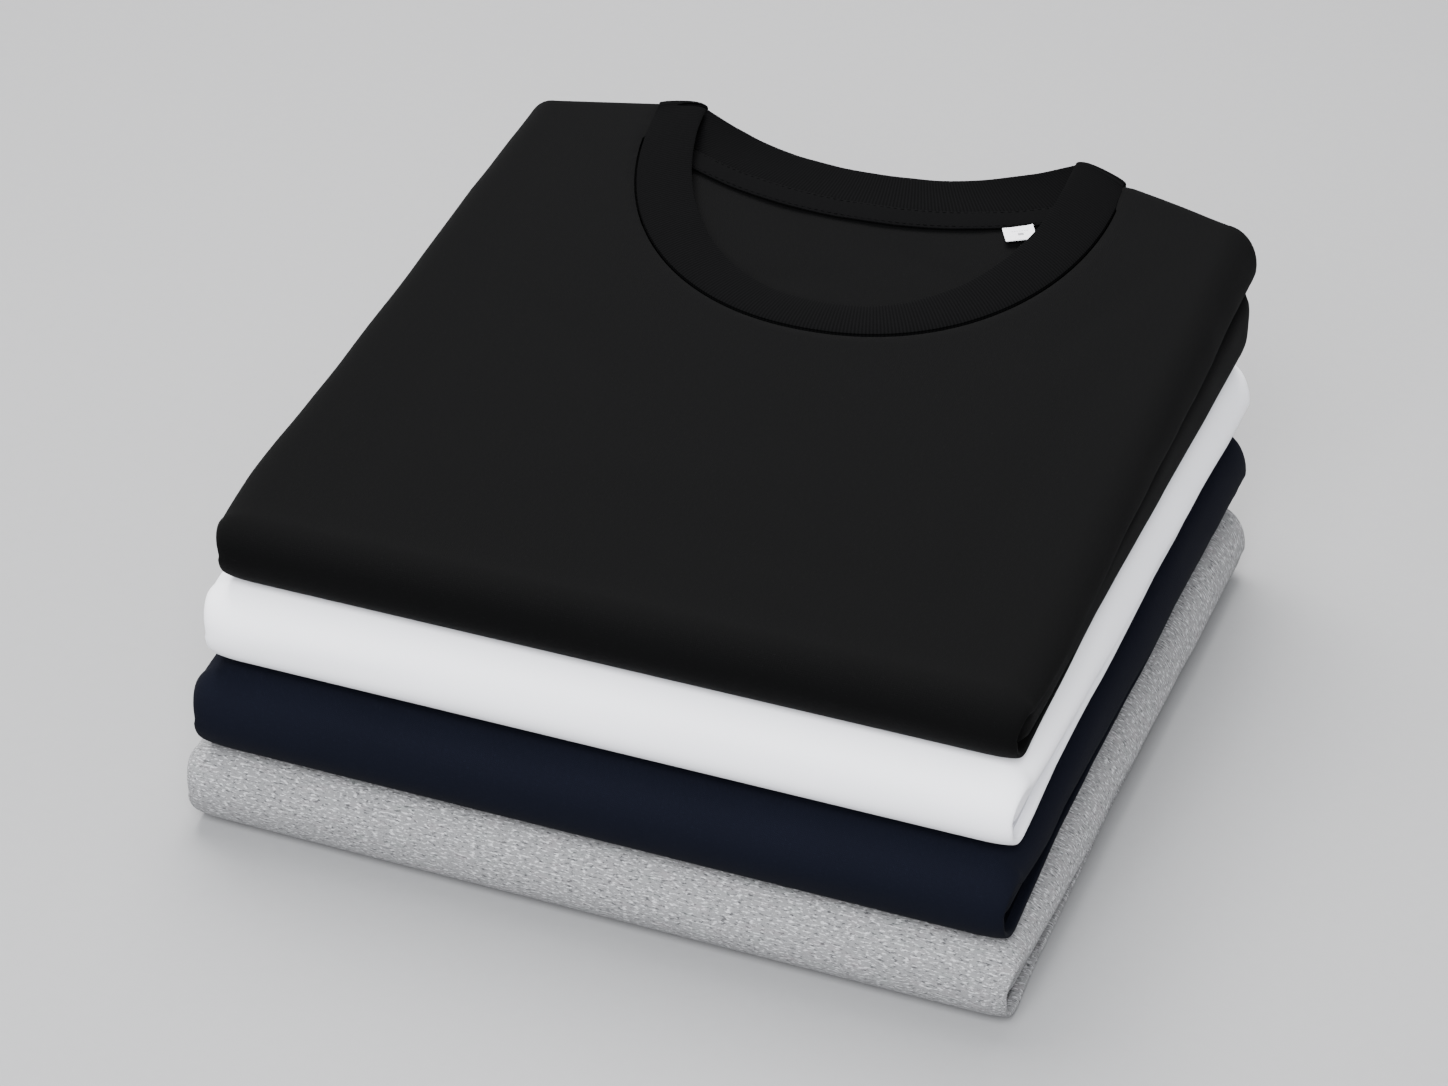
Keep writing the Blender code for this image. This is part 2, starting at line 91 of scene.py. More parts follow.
# %% Lights
def soft_light(name, place, size, power, colour):
    """A square area light that looks at the stack."""
    bpy.ops.object.light_add(type="AREA", location=place)
    light = bpy.context.object
    light.name = name
    light.data.size = size
    light.data.energy = power
    light.data.color = colour
    aim = Vector((0.0, 0.0, 0.07)) - Vector(place)
    light.rotation_euler = aim.to_track_quat("-Z", "Y").to_euler()
    return light


soft_light("overhead", (-0.35, 0.55, 1.5), 1.1, 70.0, (1.0, 0.99, 0.98))
soft_light("front fill", (0.25, -1.25, 1.25), 1.0, 70.0, (0.97, 0.985, 1.0))
soft_light("side rim", (1.5, 0.5, 0.85), 0.8, 3.0, (1.0, 1.0, 1.0))
world = bpy.data.worlds.new("studio")
world.use_nodes = True
world.node_tree.nodes["Background"].inputs["Color"].default_value = (0.95, 0.97, 1.0, 1.0)
world.node_tree.nodes["Background"].inputs["Strength"].default_value = 0.70
bpy.context.scene.world = world

# %% [markdown]
# ## Writing shaders as sums
#
# A fabric's look is mostly arithmetic: waves for the stitches, noise for the fibres,
# products to mask one with another.  Wiring dozens of Math nodes by hand hides that, so
# the small class below wraps a socket and lets Python's own operators add the nodes.


# %% A socket that can be added and multiplied
class Value:
    """A shader socket; an expression of values adds its Math nodes."""

    def __init__(self, tree, socket):
        self.tree = tree
        self.socket = socket

    def math(self, operation, first, second=None):
        node = self.tree.nodes.new("ShaderNodeMath")
        node.operation = operation
        for slot, item in zip(node.inputs, (first, second)):
            if isinstance(item, Value):
                self.tree.links.new(item.socket, slot)
            elif item is not None:
                slot.default_value = item
        return Value(self.tree, node.outputs[0])

    def __add__(self, other):
        return self.math("ADD", self, other)

    def __sub__(self, other):
        return self.math("SUBTRACT", self, other)

    def __mul__(self, other):
        return self.math("MULTIPLY", self, other)

    def __truediv__(self, other):
        return self.math("DIVIDE", self, other)

    def __pow__(self, other):
        return self.math("POWER", self, other)

    def __gt__(self, other):
        return self.math("GREATER_THAN", self, other)

    def __lt__(self, other):
        return self.math("LESS_THAN", self, other)

    def __rsub__(self, other):
        return self.math("SUBTRACT", other, self)

    def __rtruediv__(self, other):
        return self.math("DIVIDE", other, self)

    __radd__ = __add__
    __rmul__ = __mul__

    def wave(self):
        """The cosine of the value in whole turns, from 0 to 1."""
        return self.math("COSINE", self * (2 * math.pi)) * 0.5 + 0.5

    def cycle(self):
        """How far the value is through its present whole turn."""
        return self.math("FRACT", self)

    def size(self):
        return self.math("ABSOLUTE", self)

    def clamp(self):
        return self.math("MINIMUM", self.math("MAXIMUM", self, 0.0), 1.0)


# %% A finish: one material and the method that adds any other node
class Finish:
    """A Principled material that is built node by node."""

    def __init__(self, name):
        self.material = bpy.data.materials.new(name)
        self.material.use_nodes = True
        self.tree = self.material.node_tree
        self.shader = self.tree.nodes["Principled BSDF"]
        self.place = self.node("ShaderNodeTexCoord")

    def node(self, kind, settings=None, **inputs):
        """Add a node: its settings first, then the values or links of its sockets."""
        node = self.tree.nodes.new(kind)
        for name, value in (settings or {}).items():
            setattr(node, name, value)
        self.feed(node, inputs)
        return node

    def feed(self, node, inputs):
        for name, value in inputs.items():
            slots = [s for s in node.inputs if s.name.replace(" ", "_") == name and s.enabled]
            if isinstance(value, Value):
                self.tree.links.new(value.socket, slots[0])
            elif isinstance(value, bpy.types.NodeSocket):
                self.tree.links.new(value, slots[0])
            else:
                slots[0].default_value = value

    def value(self, socket):
        return Value(self.tree, socket)

    def cloth_place(self):
        """The cloth's own two directions, in metres along its cut."""
        split = self.node("ShaderNodeSeparateXYZ", Vector=self.place.outputs["UV"])
        return self.value(split.outputs["X"]), self.value(split.outputs["Y"])

    def noise(self, across, along, detail=2.0, roughness=0.5, offset=0.0):
        """Noise on the cloth's own directions, with its own scale along each."""
        u, v = self.cloth_place()
        joined = self.node("ShaderNodeCombineXYZ", X=u * across, Y=v * along, Z=offset)
        made = self.node("ShaderNodeTexNoise", Vector=joined.outputs[0], Scale=1.0,
                         Detail=detail, Roughness=roughness)
        return self.value(made.outputs["Fac"])

    def cloud(self, scale, detail=2.0, offset=0.0):
        """Noise in the object's own space, for patches that ignore the knit."""
        moved = self.node("ShaderNodeMapping", Vector=self.place.outputs["Object"],
                          Location=(offset, offset, offset))
        made = self.node("ShaderNodeTexNoise", Vector=moved.outputs[0], Scale=scale,
                         Detail=detail)
        return self.value(made.outputs["Fac"])

    def blend(self, factor, first, second):
        """Mix two colours, which may be plain tuples or sockets."""
        node = self.tree.nodes.new("ShaderNodeMix")
        node.data_type = "RGBA"
        for slot, item in ((node.inputs[0], factor), (node.inputs[6], first),
                           (node.inputs[7], second)):
            if isinstance(item, Value):
                self.tree.links.new(item.socket, slot)
            elif isinstance(item, bpy.types.NodeSocket):
                self.tree.links.new(item, slot)
            elif isinstance(item, tuple):
                slot.default_value = (*item, 1.0)
            else:
                slot.default_value = item
        return node.outputs[2]

    def surface(self, colour, roughness, height, reach, **plain):
        """Join colour, roughness and a height in metres to the shader."""
        bump = self.node("ShaderNodeBump", Height=height, Distance=reach, Strength=1.0)
        self.feed(self.shader, {"Base_Color": colour, "Roughness": roughness,
                                "Normal": bump.outputs[0], **plain})
        return self.material


print("shader tools ready")

# %% [markdown]
# ## Jersey
#
# T-shirt jersey is a single knit.  Its face shows columns of small V-shaped stitches,
# about 0.75 mm apart, with soft fuzz over them.  The stitches follow the cut of the
# cloth, so the pattern is laid on the cloth's own flat directions, which are kept in its
# UV map in metres, and it bends with every fold.  Heather grey is knitted from yarn of
# mixed light and dark fibres; they show as short streaks along the rows of stitches.

# %% Jersey
WALE, COURSE = 0.00078, 0.00066     # width and height of one stitch


def stitches(finish):
    """The knit's face: 1 on the yarn of each V, 0 in the gaps between."""
    u, v = finish.cloth_place()
    column = (u / WALE).cycle() * 2 - 1
    slant = column.size() * 0.75
    rows = (v / COURSE + slant).wave()
    hollow = 1 - column.size() ** 6
    return (rows * 0.65 + 0.35) * hollow


def jersey(name, yarn, shade, fuzz, knit_depth, contrast, sheen):
    """A plain dyed jersey; yarn and shade are its lit and its hollow colour."""
    finish = Finish(name)
    knit = stitches(finish)
    fibres = finish.noise(700.0, 1500.0, 2.0, 0.6)
    patches = finish.cloud(26.0, 3.0)
    mix = (knit * contrast + fibres * 0.45 + patches * 0.5 - 0.2).clamp()
    colour = finish.blend(mix, shade, yarn)
    colour = finish.blend((fibres - 0.60).clamp() * 2.2, colour, fuzz)
    rough = patches * 0.08 + fibres * 0.06 + 0.80
    height = knit * 0.6 + fibres * 0.5
    return finish.surface(colour, rough, height, knit_depth, Sheen_Weight=sheen,
                          Sheen_Roughness=0.45, Specular_IOR_Level=0.03)


black_jersey = jersey("black jersey", (0.0026, 0.0026, 0.0027), (0.0016, 0.0016, 0.0017),
                      (0.0048, 0.0048, 0.0051), 0.00010, 0.35, 0.008)
white_jersey = jersey("white jersey", (0.95, 0.95, 0.99), (0.89, 0.89, 0.935),
                      (0.96, 0.96, 0.99), 0.00007, 0.35, 0.05)
navy_jersey = jersey("navy jersey", (0.0042, 0.0049, 0.0094), (0.0026, 0.0031, 0.0060),
                     (0.007, 0.009, 0.016), 0.00010, 0.35, 0.01)
print("plain jerseys:", black_jersey.name, white_jersey.name, navy_jersey.name)


# %% Heather jersey
def heather(name, light, middle, dark):
    """Jersey of mixed fibres: short pale and dark streaks along the stitch rows."""
    finish = Finish(name)
    knit = stitches(finish)
    pale = ((finish.noise(460.0, 1400.0, 2.0, 0.6) - 0.54) * 9.0).clamp()
    deep = ((finish.noise(430.0, 1300.0, 2.0, 0.6, 7.0) - 0.545) * 9.0).clamp()
    broad = finish.noise(60.0, 240.0, 2.0, 0.5, 3.0)
    patches = finish.cloud(18.0, 2.0)
    warm = ((finish.noise(90.0, 260.0, 1.0, 0.5, 11.0) - 0.55) * 4.0).clamp()
    cool = ((finish.noise(90.0, 260.0, 1.0, 0.5, 17.0) - 0.55) * 4.0).clamp()
    # The gaps between stitches lean to the middle colour: painted shade in the knit's hollows,
    # mixed with random broad streaks and patches.
    colour = finish.blend((knit * 0.35 + broad * 0.5 + patches * 0.25 - 0.1).clamp(),
                          middle, light)
    colour = finish.blend(deep * 0.85, colour, dark)
    colour = finish.blend(pale * 0.85, colour, (0.50, 0.50, 0.515))
    colour = finish.blend(warm * 0.16, colour, (0.30, 0.24, 0.26))
    colour = finish.blend(cool * 0.14, colour, (0.23, 0.28, 0.255))
    rough = patches * 0.08 + 0.84
    height = knit * 0.6 + pale * 0.3 + 0.1
    return finish.surface(colour, rough, height, 0.00009, Sheen_Weight=0.08,
                          Sheen_Roughness=0.5, Specular_IOR_Level=0.25)


grey_jersey = heather("heather grey jersey", (0.215, 0.215, 0.22), (0.165, 0.165, 0.17),
                      (0.030, 0.030, 0.033))
print("heather jersey:", grey_jersey.name)
JERSEY = {"grey": grey_jersey, "navy": navy_jersey, "white": white_jersey,
          "black": black_jersey}

# %% [markdown]
# ## Rib, tape and label
#
# The collar is a 1x1 rib: fine ridges that run across the band, so the pattern follows
# the distance along the band.  The neck tape is a narrow herringbone twill.  The label is
# white satin with plain woven marks and no letters: one short bar over a row of dashes.


# %% Rib and tape
RIDGE, LOOP = 0.00118, 0.0007           # one ridge of the rib, and one loop along it
HERRINGBONE, TWILL = 0.0056, 0.0009     # the tape's zigzag, and one line of its twill


def rib_knit():
    finish = Finish("black rib")
    u, v = finish.cloth_place()
    ridge = (u / RIDGE).wave()
    loops = (v / LOOP + (u / RIDGE).cycle() * 0.4).wave()
    fibres = finish.noise(800.0, 800.0)
    patches = finish.cloud(30.0)
    mix = (ridge * 0.75 + fibres * 0.3 + patches * 0.3 - 0.25).clamp()
    colour = finish.blend(mix, (0.0008, 0.0008, 0.0009), (0.0024, 0.0024, 0.0026))
    height = ridge * 0.8 + loops * 0.12 + fibres * 0.1
    return finish.surface(colour, patches * 0.1 + 0.82, height, 0.00008, Sheen_Weight=0.005,
                          Sheen_Roughness=0.45, Specular_IOR_Level=0.02)


def herringbone():
    finish = Finish("black herringbone tape")
    u, v = finish.cloth_place()
    zigzag = ((u / HERRINGBONE).cycle() - 0.5).size() * 4.0
    twill = (v / TWILL + zigzag).wave()
    fibres = finish.noise(900.0, 900.0)
    colour = finish.blend((twill * 0.6 + fibres * 0.4).clamp(), (0.0010, 0.0010, 0.0011),
                          (0.0024, 0.0024, 0.0026))
    return finish.surface(colour, fibres * 0.1 + 0.8, twill, 0.00004, Sheen_Weight=0.005,
                          Sheen_Roughness=0.4, Specular_IOR_Level=0.02)


black_rib, black_tape = rib_knit(), herringbone()
print("neck finishes:", black_rib.name, black_tape.name)


# %% Label satin
Mark = namedtuple("Mark", "left right near far")
BAR = Mark(0.0050, 0.0071, 0.0034, 0.0050)
DASHES, DASH = Mark(0.0028, 0.0093, 0.0062, 0.0066), 0.0009


def inside(mark, u, v):
    """1 inside the mark's rectangle on the label, 0 outside."""
    return (u > mark.left) * (u < mark.right) * (v > mark.near) * (v < mark.far)


def label_satin():
    finish = Finish("label satin")
    u, v = finish.cloth_place()
    bar = inside(BAR, u, v)
    dashes = inside(DASHES, u, v) * ((u / DASH).cycle() > 0.38)
    weave = (u / 0.00022).wave() * 0.5 + (v / 0.00026).wave() * 0.5
    ground = finish.blend(weave, (0.66, 0.66, 0.69), (0.80, 0.80, 0.82))
    marks = (bar + dashes).clamp() * 0.8
    colour = finish.blend(marks, ground, (0.10, 0.10, 0.11))
    return finish.surface(colour, weave * 0.12 + 0.42, weave, 0.00004, Sheen_Weight=0.1,
                          Specular_IOR_Level=0.4)


satin = label_satin()
print("label finish:", satin.name)

# %% [markdown]
# ## The floor's paper
#
# The floor is plain studio paper.  Its own grey is a middle one: under the large lights
# it comes out pale, and it sends less light up under the folds than white paper would.


# %% Floor finish
def studio_paper():
    finish = Finish("studio paper")
    grain = finish.cloud(220.0, 4.0)
    colour = finish.blend(grain, (0.25, 0.25, 0.255), (0.27, 0.27, 0.275))
    return finish.surface(colour, grain * 0.1 + 0.75, grain, 0.00002)


floor.data.materials.append(studio_paper())
print("floor finish:", floor.data.materials[0].name)

# %% [markdown]
# ## The cloth, folded as it was cut
#
# A folded shirt is easiest to build the way it is folded.  A flat grid stands for the
# strip of the shirt that shows.  Its rows run from the hidden edge underneath, round the
# front fold, over the top and down the back; its columns run across, with a drape at
# each side that ends in a lip.  Each grid point is given its place on the packet, and
# its flat place is kept as UV, so the knit follows every bend.
#
# The table gives the sizes that the CAD boxes can't: how high the top and the side lips
# stand at the front fold and at the back edge, and how far the lips tuck in.

# %% The packets
Packet = namedtuple("Packet", "name thick lift lip lip_back tuck tuck_back fall layers")
PACKETS = [
    Packet("grey", 0.0292, 0.0292, 0.0195, 0.0120, 0.0022, 0.0009, 0.008, 2),
    Packet("navy", 0.0302, 0.0302, 0.0200, 0.0120, 0.0022, 0.0009, 0.008, 2),
    Packet("white", 0.0303, 0.0303, 0.0200, 0.0120, 0.0022, 0.0009, 0.008, 2),
    Packet("black", 0.0250, 0.0575, 0.0160, 0.0320, 0.0022, 0.0090, 0.010, 5),
]
REACH, BACK_REACH = 0.012, 0.0075   # how far in from the side and the back the rounds start
UNDER_LIP = 0.0030                  # height of the cloth's edge underneath
SHOULDER_HALF = 0.092               # half of the straight stretch of the back edge
NARROW_LEFT, NARROW_RIGHT = 0.0066, 0.0035    # the front fold's ends stand in by this
SOFT_START = 0.02                   # the share of the top over which its slope sets in
WALL = 0.0011


class Fold:
    """A packet's heights and edges, from its table row and its CAD box."""

    def __init__(self, packet):
        self.packet = packet
        low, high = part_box(packet.name + "_front")
        self.left, self.front, self.base = low
        self.right, self.back = high.x, high.y
        self.radius = packet.thick / 2
        self.axis_y = self.front + self.radius
        self.axis_z = self.base + self.radius

    def share(self, y):
        """0 at the front fold's axis, 1 at the back edge."""
        return (y - self.axis_y) / (self.back - self.axis_y)

    def top(self, y):
        """Height of the top; its slope starts softly behind the front fold."""
        share = np.maximum(self.share(y), 0.0)
        eased = share - SOFT_START * (1 - np.exp(-share / SOFT_START))
        return self.base + self.packet.thick + (self.packet.lift - self.packet.thick) * eased

    def lip(self, y):
        """Height of the side lip."""
        rise = self.packet.lip_back - self.packet.lip
        return self.base + self.packet.lip + rise * self.share(y)

    def tuck(self, y):
        """How far the lip turns in under itself."""
        share = np.clip(self.share(y), 0.0, 1.0)
        return self.packet.tuck + (self.packet.tuck_back - self.packet.tuck) * share

    def back_at(self, x):
        """The back edge, which falls away from the shoulders to the corners."""
        middle, half = (self.left + self.right) / 2, (self.right - self.left) / 2
        past = (np.abs(x - middle) - SHOULDER_HALF) / (half - REACH - SHOULDER_HALF)
        return self.back - self.packet.fall * np.clip(past, 0.0, 1.0)


FOLDS = {packet.name: Fold(packet) for packet in PACKETS}
for fold in FOLDS.values():
    print(fold.packet.name, "packet", round((fold.right - fold.left) * 1000), "mm wide,",
          round((fold.back - fold.front) * 1000), "mm deep")

# %% [markdown]
# ## Helpers for sheets of cloth
#
# A grid primitive gives the columns and rows.  Its points are moved to their places all
# at once, its UV gets the flat places, and a Solidify modifier makes it a wall.  Slow
# uneven waves, a sum of three that never fall into step, keep edges from being ruled
# lines; creases are soft troughs, each with its own place, length, width and depth.


# %% Grid of cloth
def cloth_grid(name, places, flat):
    """A grid whose points lie at places[row, column], with their flat places as UV."""
    rows, columns = places.shape[0] - 1, places.shape[1] - 1
    bpy.ops.object.select_all(action="DESELECT")
    bpy.ops.mesh.primitive_grid_add(x_subdivisions=columns, y_subdivisions=rows, size=2.0)
    piece = bpy.context.object
    piece.name = name
    mesh = piece.data
    at = np.zeros(len(mesh.vertices) * 3)
    mesh.vertices.foreach_get("co", at)
    at = at.reshape(-1, 3)
    column = np.rint((at[:, 0] + 1) / 2 * columns).astype(int)
    row = np.rint((at[:, 1] + 1) / 2 * rows).astype(int)
    mesh.vertices.foreach_set("co", places[row, column].ravel())
    corner = np.zeros(len(mesh.loops), int)
    mesh.loops.foreach_get("vertex_index", corner)
    mesh.uv_layers[0].data.foreach_set("uv", flat[row, column][corner].ravel())
    mesh.update()
    return piece


def edit(piece):
    """Go to edit mode on one piece, with nothing selected."""
    bpy.ops.object.select_all(action="DESELECT")
    piece.select_set(True)
    bpy.context.view_layer.objects.active = piece
    bpy.ops.object.mode_set(mode="EDIT")
    bpy.ops.mesh.select_all(action="DESELECT")


def face_up(piece):
    """Turn the faces so that the piece's highest face looks up."""
    highest = max(piece.data.polygons, key=lambda face: face.center.z)
    if highest.normal.z < 0:
        edit(piece)
        bpy.ops.mesh.select_all(action="SELECT")
        bpy.ops.mesh.flip_normals()
        bpy.ops.object.mode_set(mode="OBJECT")


def thicken(piece, wall, bevel=0.0):
    """Make the sheet a wall, inward from its face, and round its edges a little."""
    bpy.context.view_layer.objects.active = piece
    made = piece.modifiers.new("wall", "SOLIDIFY")
    made.thickness = wall
    made.offset = -1.0
    bpy.ops.object.modifier_apply(modifier=made.name)
    if bevel:
        made = piece.modifiers.new("edge", "BEVEL")
        made.width = bevel
        made.segments = 2
        made.limit_method = "ANGLE"
        made.angle_limit = math.radians(60)
        bpy.ops.object.modifier_apply(modifier=made.name)


def dress(piece, material, slot, *nodes):
    """Smooth the piece, give it its finish, and let it stand for its CAD nodes."""
    piece.data.materials.clear()
    piece.data.materials.append(material)
    bpy.ops.object.select_all(action="DESELECT")
    piece.select_set(True)
    bpy.context.view_layer.objects.active = piece
    bpy.ops.object.shade_smooth_by_angle(angle=math.radians(55))
    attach(piece, "root")
    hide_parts(*nodes)
    print(piece.name, "has", sum(len(face.vertices) - 2 for face in piece.data.polygons),
          "triangles")


# %% Waves and creases
def drift(at, length, seed):
    """A slow uneven wave from -1 to 1 along a distance."""
    turn = 2 * np.pi * at / length
    return (np.sin(turn + seed) + 0.6 * np.sin(1.73 * turn + 2.1 * seed + 1.0)
            + 0.35 * np.sin(3.41 * turn + 3.7 * seed + 0.4)) / 1.95


Crease = namedtuple("Crease", "x y z run_x run_y run_z length width depth")


def crease(piece, table):
    """Press soft troughs into the piece, or raise ridges where the depth is negative."""
    mesh = piece.data
    at = np.zeros(len(mesh.vertices) * 3)
    mesh.vertices.foreach_get("co", at)
    at = at.reshape(-1, 3)
    facing = np.array([vertex.normal for vertex in mesh.vertices])
    moved = np.zeros(len(at))
    for row in table:
        run = np.array([row.run_x, row.run_y, row.run_z])
        run = run / np.linalg.norm(run)
        rest = at - np.array([row.x, row.y, row.z])
        along = rest @ run
        away = np.linalg.norm(rest - along[:, None] * run, axis=1)
        moved -= row.depth * np.exp(-(away / row.width) ** 2 - (along / row.length * 2) ** 4)
    mesh.vertices.foreach_set("co", (at + facing * moved[:, None]).ravel())
    mesh.update()


def flat_places(places):
    """Flat places of a grid: distances along its middle row and its middle column."""
    middle_row, middle_column = places.shape[0] * 2 // 3, places.shape[1] // 2
    across = np.linalg.norm(np.diff(places[middle_row], axis=0), axis=1)
    along = np.linalg.norm(np.diff(places[:, middle_column], axis=0), axis=1)
    u, v = np.append(0, np.cumsum(across)), np.append(0, np.cumsum(along))
    return np.stack(np.meshgrid(u, v), axis=2)


print("cloth helpers ready")

# %% [markdown]
# ## The front panels
#
# The side of a packet is one profile: a big round over the edge, a lip that tucks in
# under itself, and a short flat return.  Along the top it hangs down; round the front
# fold it points to the fold's axis, and fades until only a low edge is left underneath,
# which leaves the small dark hollow at each end of the fold.  At the back corners the
# side's round turns into the back edge's round.


# %% Side profile
BIG_ROUND, SMALL_ROUND, RETURN = 0.66, 0.24, 0.10   # shares of the profile's points
SIDE_RETURN, BACK_RETURN = 0.0025, 0.0008           # how far its last stretch runs in


def profile(share, reach, depth, tuck, back):
    """(inward, down) of the drape: 0 is where the round starts, 1 the return's end."""
    big = np.clip(share / BIG_ROUND, 0, 1) * np.pi / 2
    small = np.clip((share - BIG_ROUND) / SMALL_ROUND, 0, 1) * np.pi / 2
    last = np.clip((share - (1 - RETURN)) / RETURN, 0, 1)
    inward = reach * (1 - np.sin(big)) + 0.7 * tuck * (1 - np.cos(small)) + back * last
    return inward, (depth - tuck) * (1 - np.cos(big)) + tuck * np.sin(small)


print("side return is", SIDE_RETURN * 1000, "mm")

# %% [markdown]
# ## A front panel's points
#
# The rows are worked out in four stretches: underneath, round the front fold, over the
# top, and over the back edge.  The cloth underneath is narrower than the packet, with
# rounder corners, so that it stays hidden.  Near the front fold the sides draw in, as the
# fold pulls them.

# %% Places of a front panel's points
SIDE, FLAT = 16, 124                        # columns of a drape, and of the top
UNDER, TURN, TOP, BACK = 20, 26, 126, 14    # rows of each stretch of the strip
UNDER_INSET, UNDER_CORNER, UNDER_PAST = 0.0048, 0.014, 0.0005   # of the cloth below
UNDER_NARROW, TOP_NARROW = 0.8, 0.30        # shares of the front fold's narrowing
NARROW_REACH, CURL_REACH = 0.09, 0.028      # how far back it goes, below and on top
LIP_FADE = 0.62                             # the share of the turn where the lip fades
EDGE_SWAY, SWAY_OUT, LIP_SWAY = 0.0005, 0.0003, 0.0006  # unevenness of side and lip


def front_places(fold, seed):
    """Where each point of the folded strip lies: rows from underneath to the back."""
    packet = fold.packet
    column = np.arange(2 * SIDE + FLAT + 1)[None, :]
    row = np.arange(UNDER + TURN + TOP + BACK + 1)[:, None]
    side = np.maximum(np.maximum((SIDE - column) / SIDE, (column - SIDE - FLAT) / SIDE), 0)
    across = np.clip((column - SIDE) / FLAT, 0, 1)
    under = np.clip(row / UNDER, 0, 1)
    turn = np.clip((row - UNDER) / TURN, 0, 1)
    top = np.clip((row - UNDER - TURN) / TOP, 0, 1)
    back = np.clip((row - UNDER - TURN - TOP) / BACK, 0, 1)
    over = (row >= UNDER + TURN)

    # the middle line of each column: under, round the fold and over the top
    flat_x = fold.left + REACH + (fold.right - fold.left - 2 * REACH) * across
    end_y = fold.back_at(flat_x) - BACK_REACH
    under_end = end_y + UNDER_PAST
    angle = 1.5 * np.pi - np.pi * turn
    y = np.where(over, fold.axis_y + (end_y - fold.axis_y) * top,
                 np.where(row >= UNDER, fold.axis_y + fold.radius * np.cos(angle),
                          under_end + (fold.axis_y - under_end) * under))
    z = np.where(over, fold.top(y),
                 np.where(row >= UNDER, fold.axis_z + fold.radius * np.sin(angle), fold.base))
    inward_y = np.where(over | (row < UNDER), 0.0, -np.cos(angle))
    inward_z = np.where(over, -1.0, np.where(row < UNDER, 1.0, -np.sin(angle)))

    # how deep the side hangs, which is little underneath
    fade = np.maximum(0, 1 - (1 - turn) / LIP_FADE) ** 1.5
    lips = packet.thick - packet.lip - UNDER_LIP
    depth = np.where(over, fold.top(y) - fold.lip(y),
                     np.where(row >= UNDER, UNDER_LIP + lips * fade, UNDER_LIP))
    depth = depth + np.where(over, LIP_SWAY * drift(y, 0.11, seed), 0.0)
    tuck = np.minimum(fold.tuck(y), depth * 0.5)

    # how far each row's ends stand in from the packet's sides
    bulge = 1 - np.sqrt(1 - 0.96 * np.cos(angle) ** 2)
    curl = np.maximum(0, 1 - (y - fold.axis_y) / CURL_REACH) ** 2
    near = np.maximum(0, 1 - (y - fold.axis_y) / NARROW_REACH) ** 2
    narrow = np.where(turn < 0.5, np.maximum(bulge, UNDER_NARROW),
                      TOP_NARROW + (1 - TOP_NARROW) * bulge)
    narrow = np.where(over, TOP_NARROW * curl, narrow)
    narrow = np.where(row < UNDER, UNDER_NARROW * near, narrow)
    corner = np.clip((y - (under_end - UNDER_CORNER)) / UNDER_CORNER, 0, 0.98)
    corner = UNDER_CORNER * (1 - np.sqrt(1 - corner ** 2)) + UNDER_INSET * (1 - near)
    corner = np.where(row < UNDER, corner, 0.0)

    # the two side profiles, and the flat stretch between them
    wander = EDGE_SWAY * drift(y + 0.3 * z, 0.14, seed + 1.0) * (1 - back)
    wander = np.maximum(wander, -SWAY_OUT)
    inward, down = profile(side, REACH, depth, tuck, SIDE_RETURN)
    left = fold.left + NARROW_LEFT * narrow + corner + wander
    right = fold.right - NARROW_RIGHT * narrow - corner - wander
    flat_x = left + REACH + (right - left - 2 * REACH) * across
    x = np.where(column < SIDE, left + inward,
                 np.where(column > SIDE + FLAT, right - inward, flat_x))
    down = np.where(side > 0, down, 0.0)
    places = np.stack([x, y + inward_y * down, z + inward_z * down], axis=2)
    return round_the_back(fold, places, side, back, np.where(column < SIDE, -1.0, 1.0))


BACK_TUCK, BACK_SWAY = 0.0008, 0.0008   # the back lip's turn in, and its unevenness


def round_the_back(fold, places, side, back, hand):
    """Carry the last rows over the back edge, and round the two corners."""
    last = UNDER + TURN + TOP
    edge = places[last, :, :][None, :, :]
    flat = edge.copy()
    flat[:, :SIDE] = edge[:, SIDE:SIDE + 1]
    flat[:, SIDE + FLAT:] = edge[:, SIDE + FLAT:SIDE + FLAT + 1]
    far = np.maximum(side, back)
    safe = np.maximum(far, 1e-9)
    angle = np.where(side >= back, np.pi / 4 * back / safe,
                     np.pi / 2 - np.pi / 4 * side / safe)
    to_side, to_back = np.cos(angle), np.sin(angle)
    reach = REACH * to_side ** 2 + BACK_REACH * to_back ** 2
    end_y = flat[:, :, 1]
    tuck = BACK_TUCK + (fold.tuck(end_y) - BACK_TUCK) * to_side ** 2
    sway = BACK_SWAY * drift(flat[:, :, 0], 0.13, 2.0) * to_back
    depth = fold.top(end_y) - fold.lip(end_y) + sway
    last_in = BACK_RETURN + (SIDE_RETURN - BACK_RETURN) * to_side ** 2
    inward, down = profile(far, reach, depth, tuck, last_in)
    out = (reach - inward) / reach
    rounded = np.stack([flat[:, :, 0] + hand * REACH * out * to_side,
                        end_y + BACK_REACH * out * to_back,
                        fold.top(end_y) - down], axis=2)
    use = (back > 0)[:, :, None]
    return np.where(use, rounded, places)


sample = front_places(FOLDS["grey"], 0.0)
print("a panel has", sample.shape[0], "rows of", sample.shape[1], "points")

# %% [markdown]
# ## Creases
#
# Well-folded jersey is calm: a few long shallow troughs where a hidden sleeve or side
# ends below, a soft ridge over a folded layer, and small pulls near the neck and the
# corners.  Each shirt has its own, as uneven in length and depth as real ones, on the
# sides and the back too.

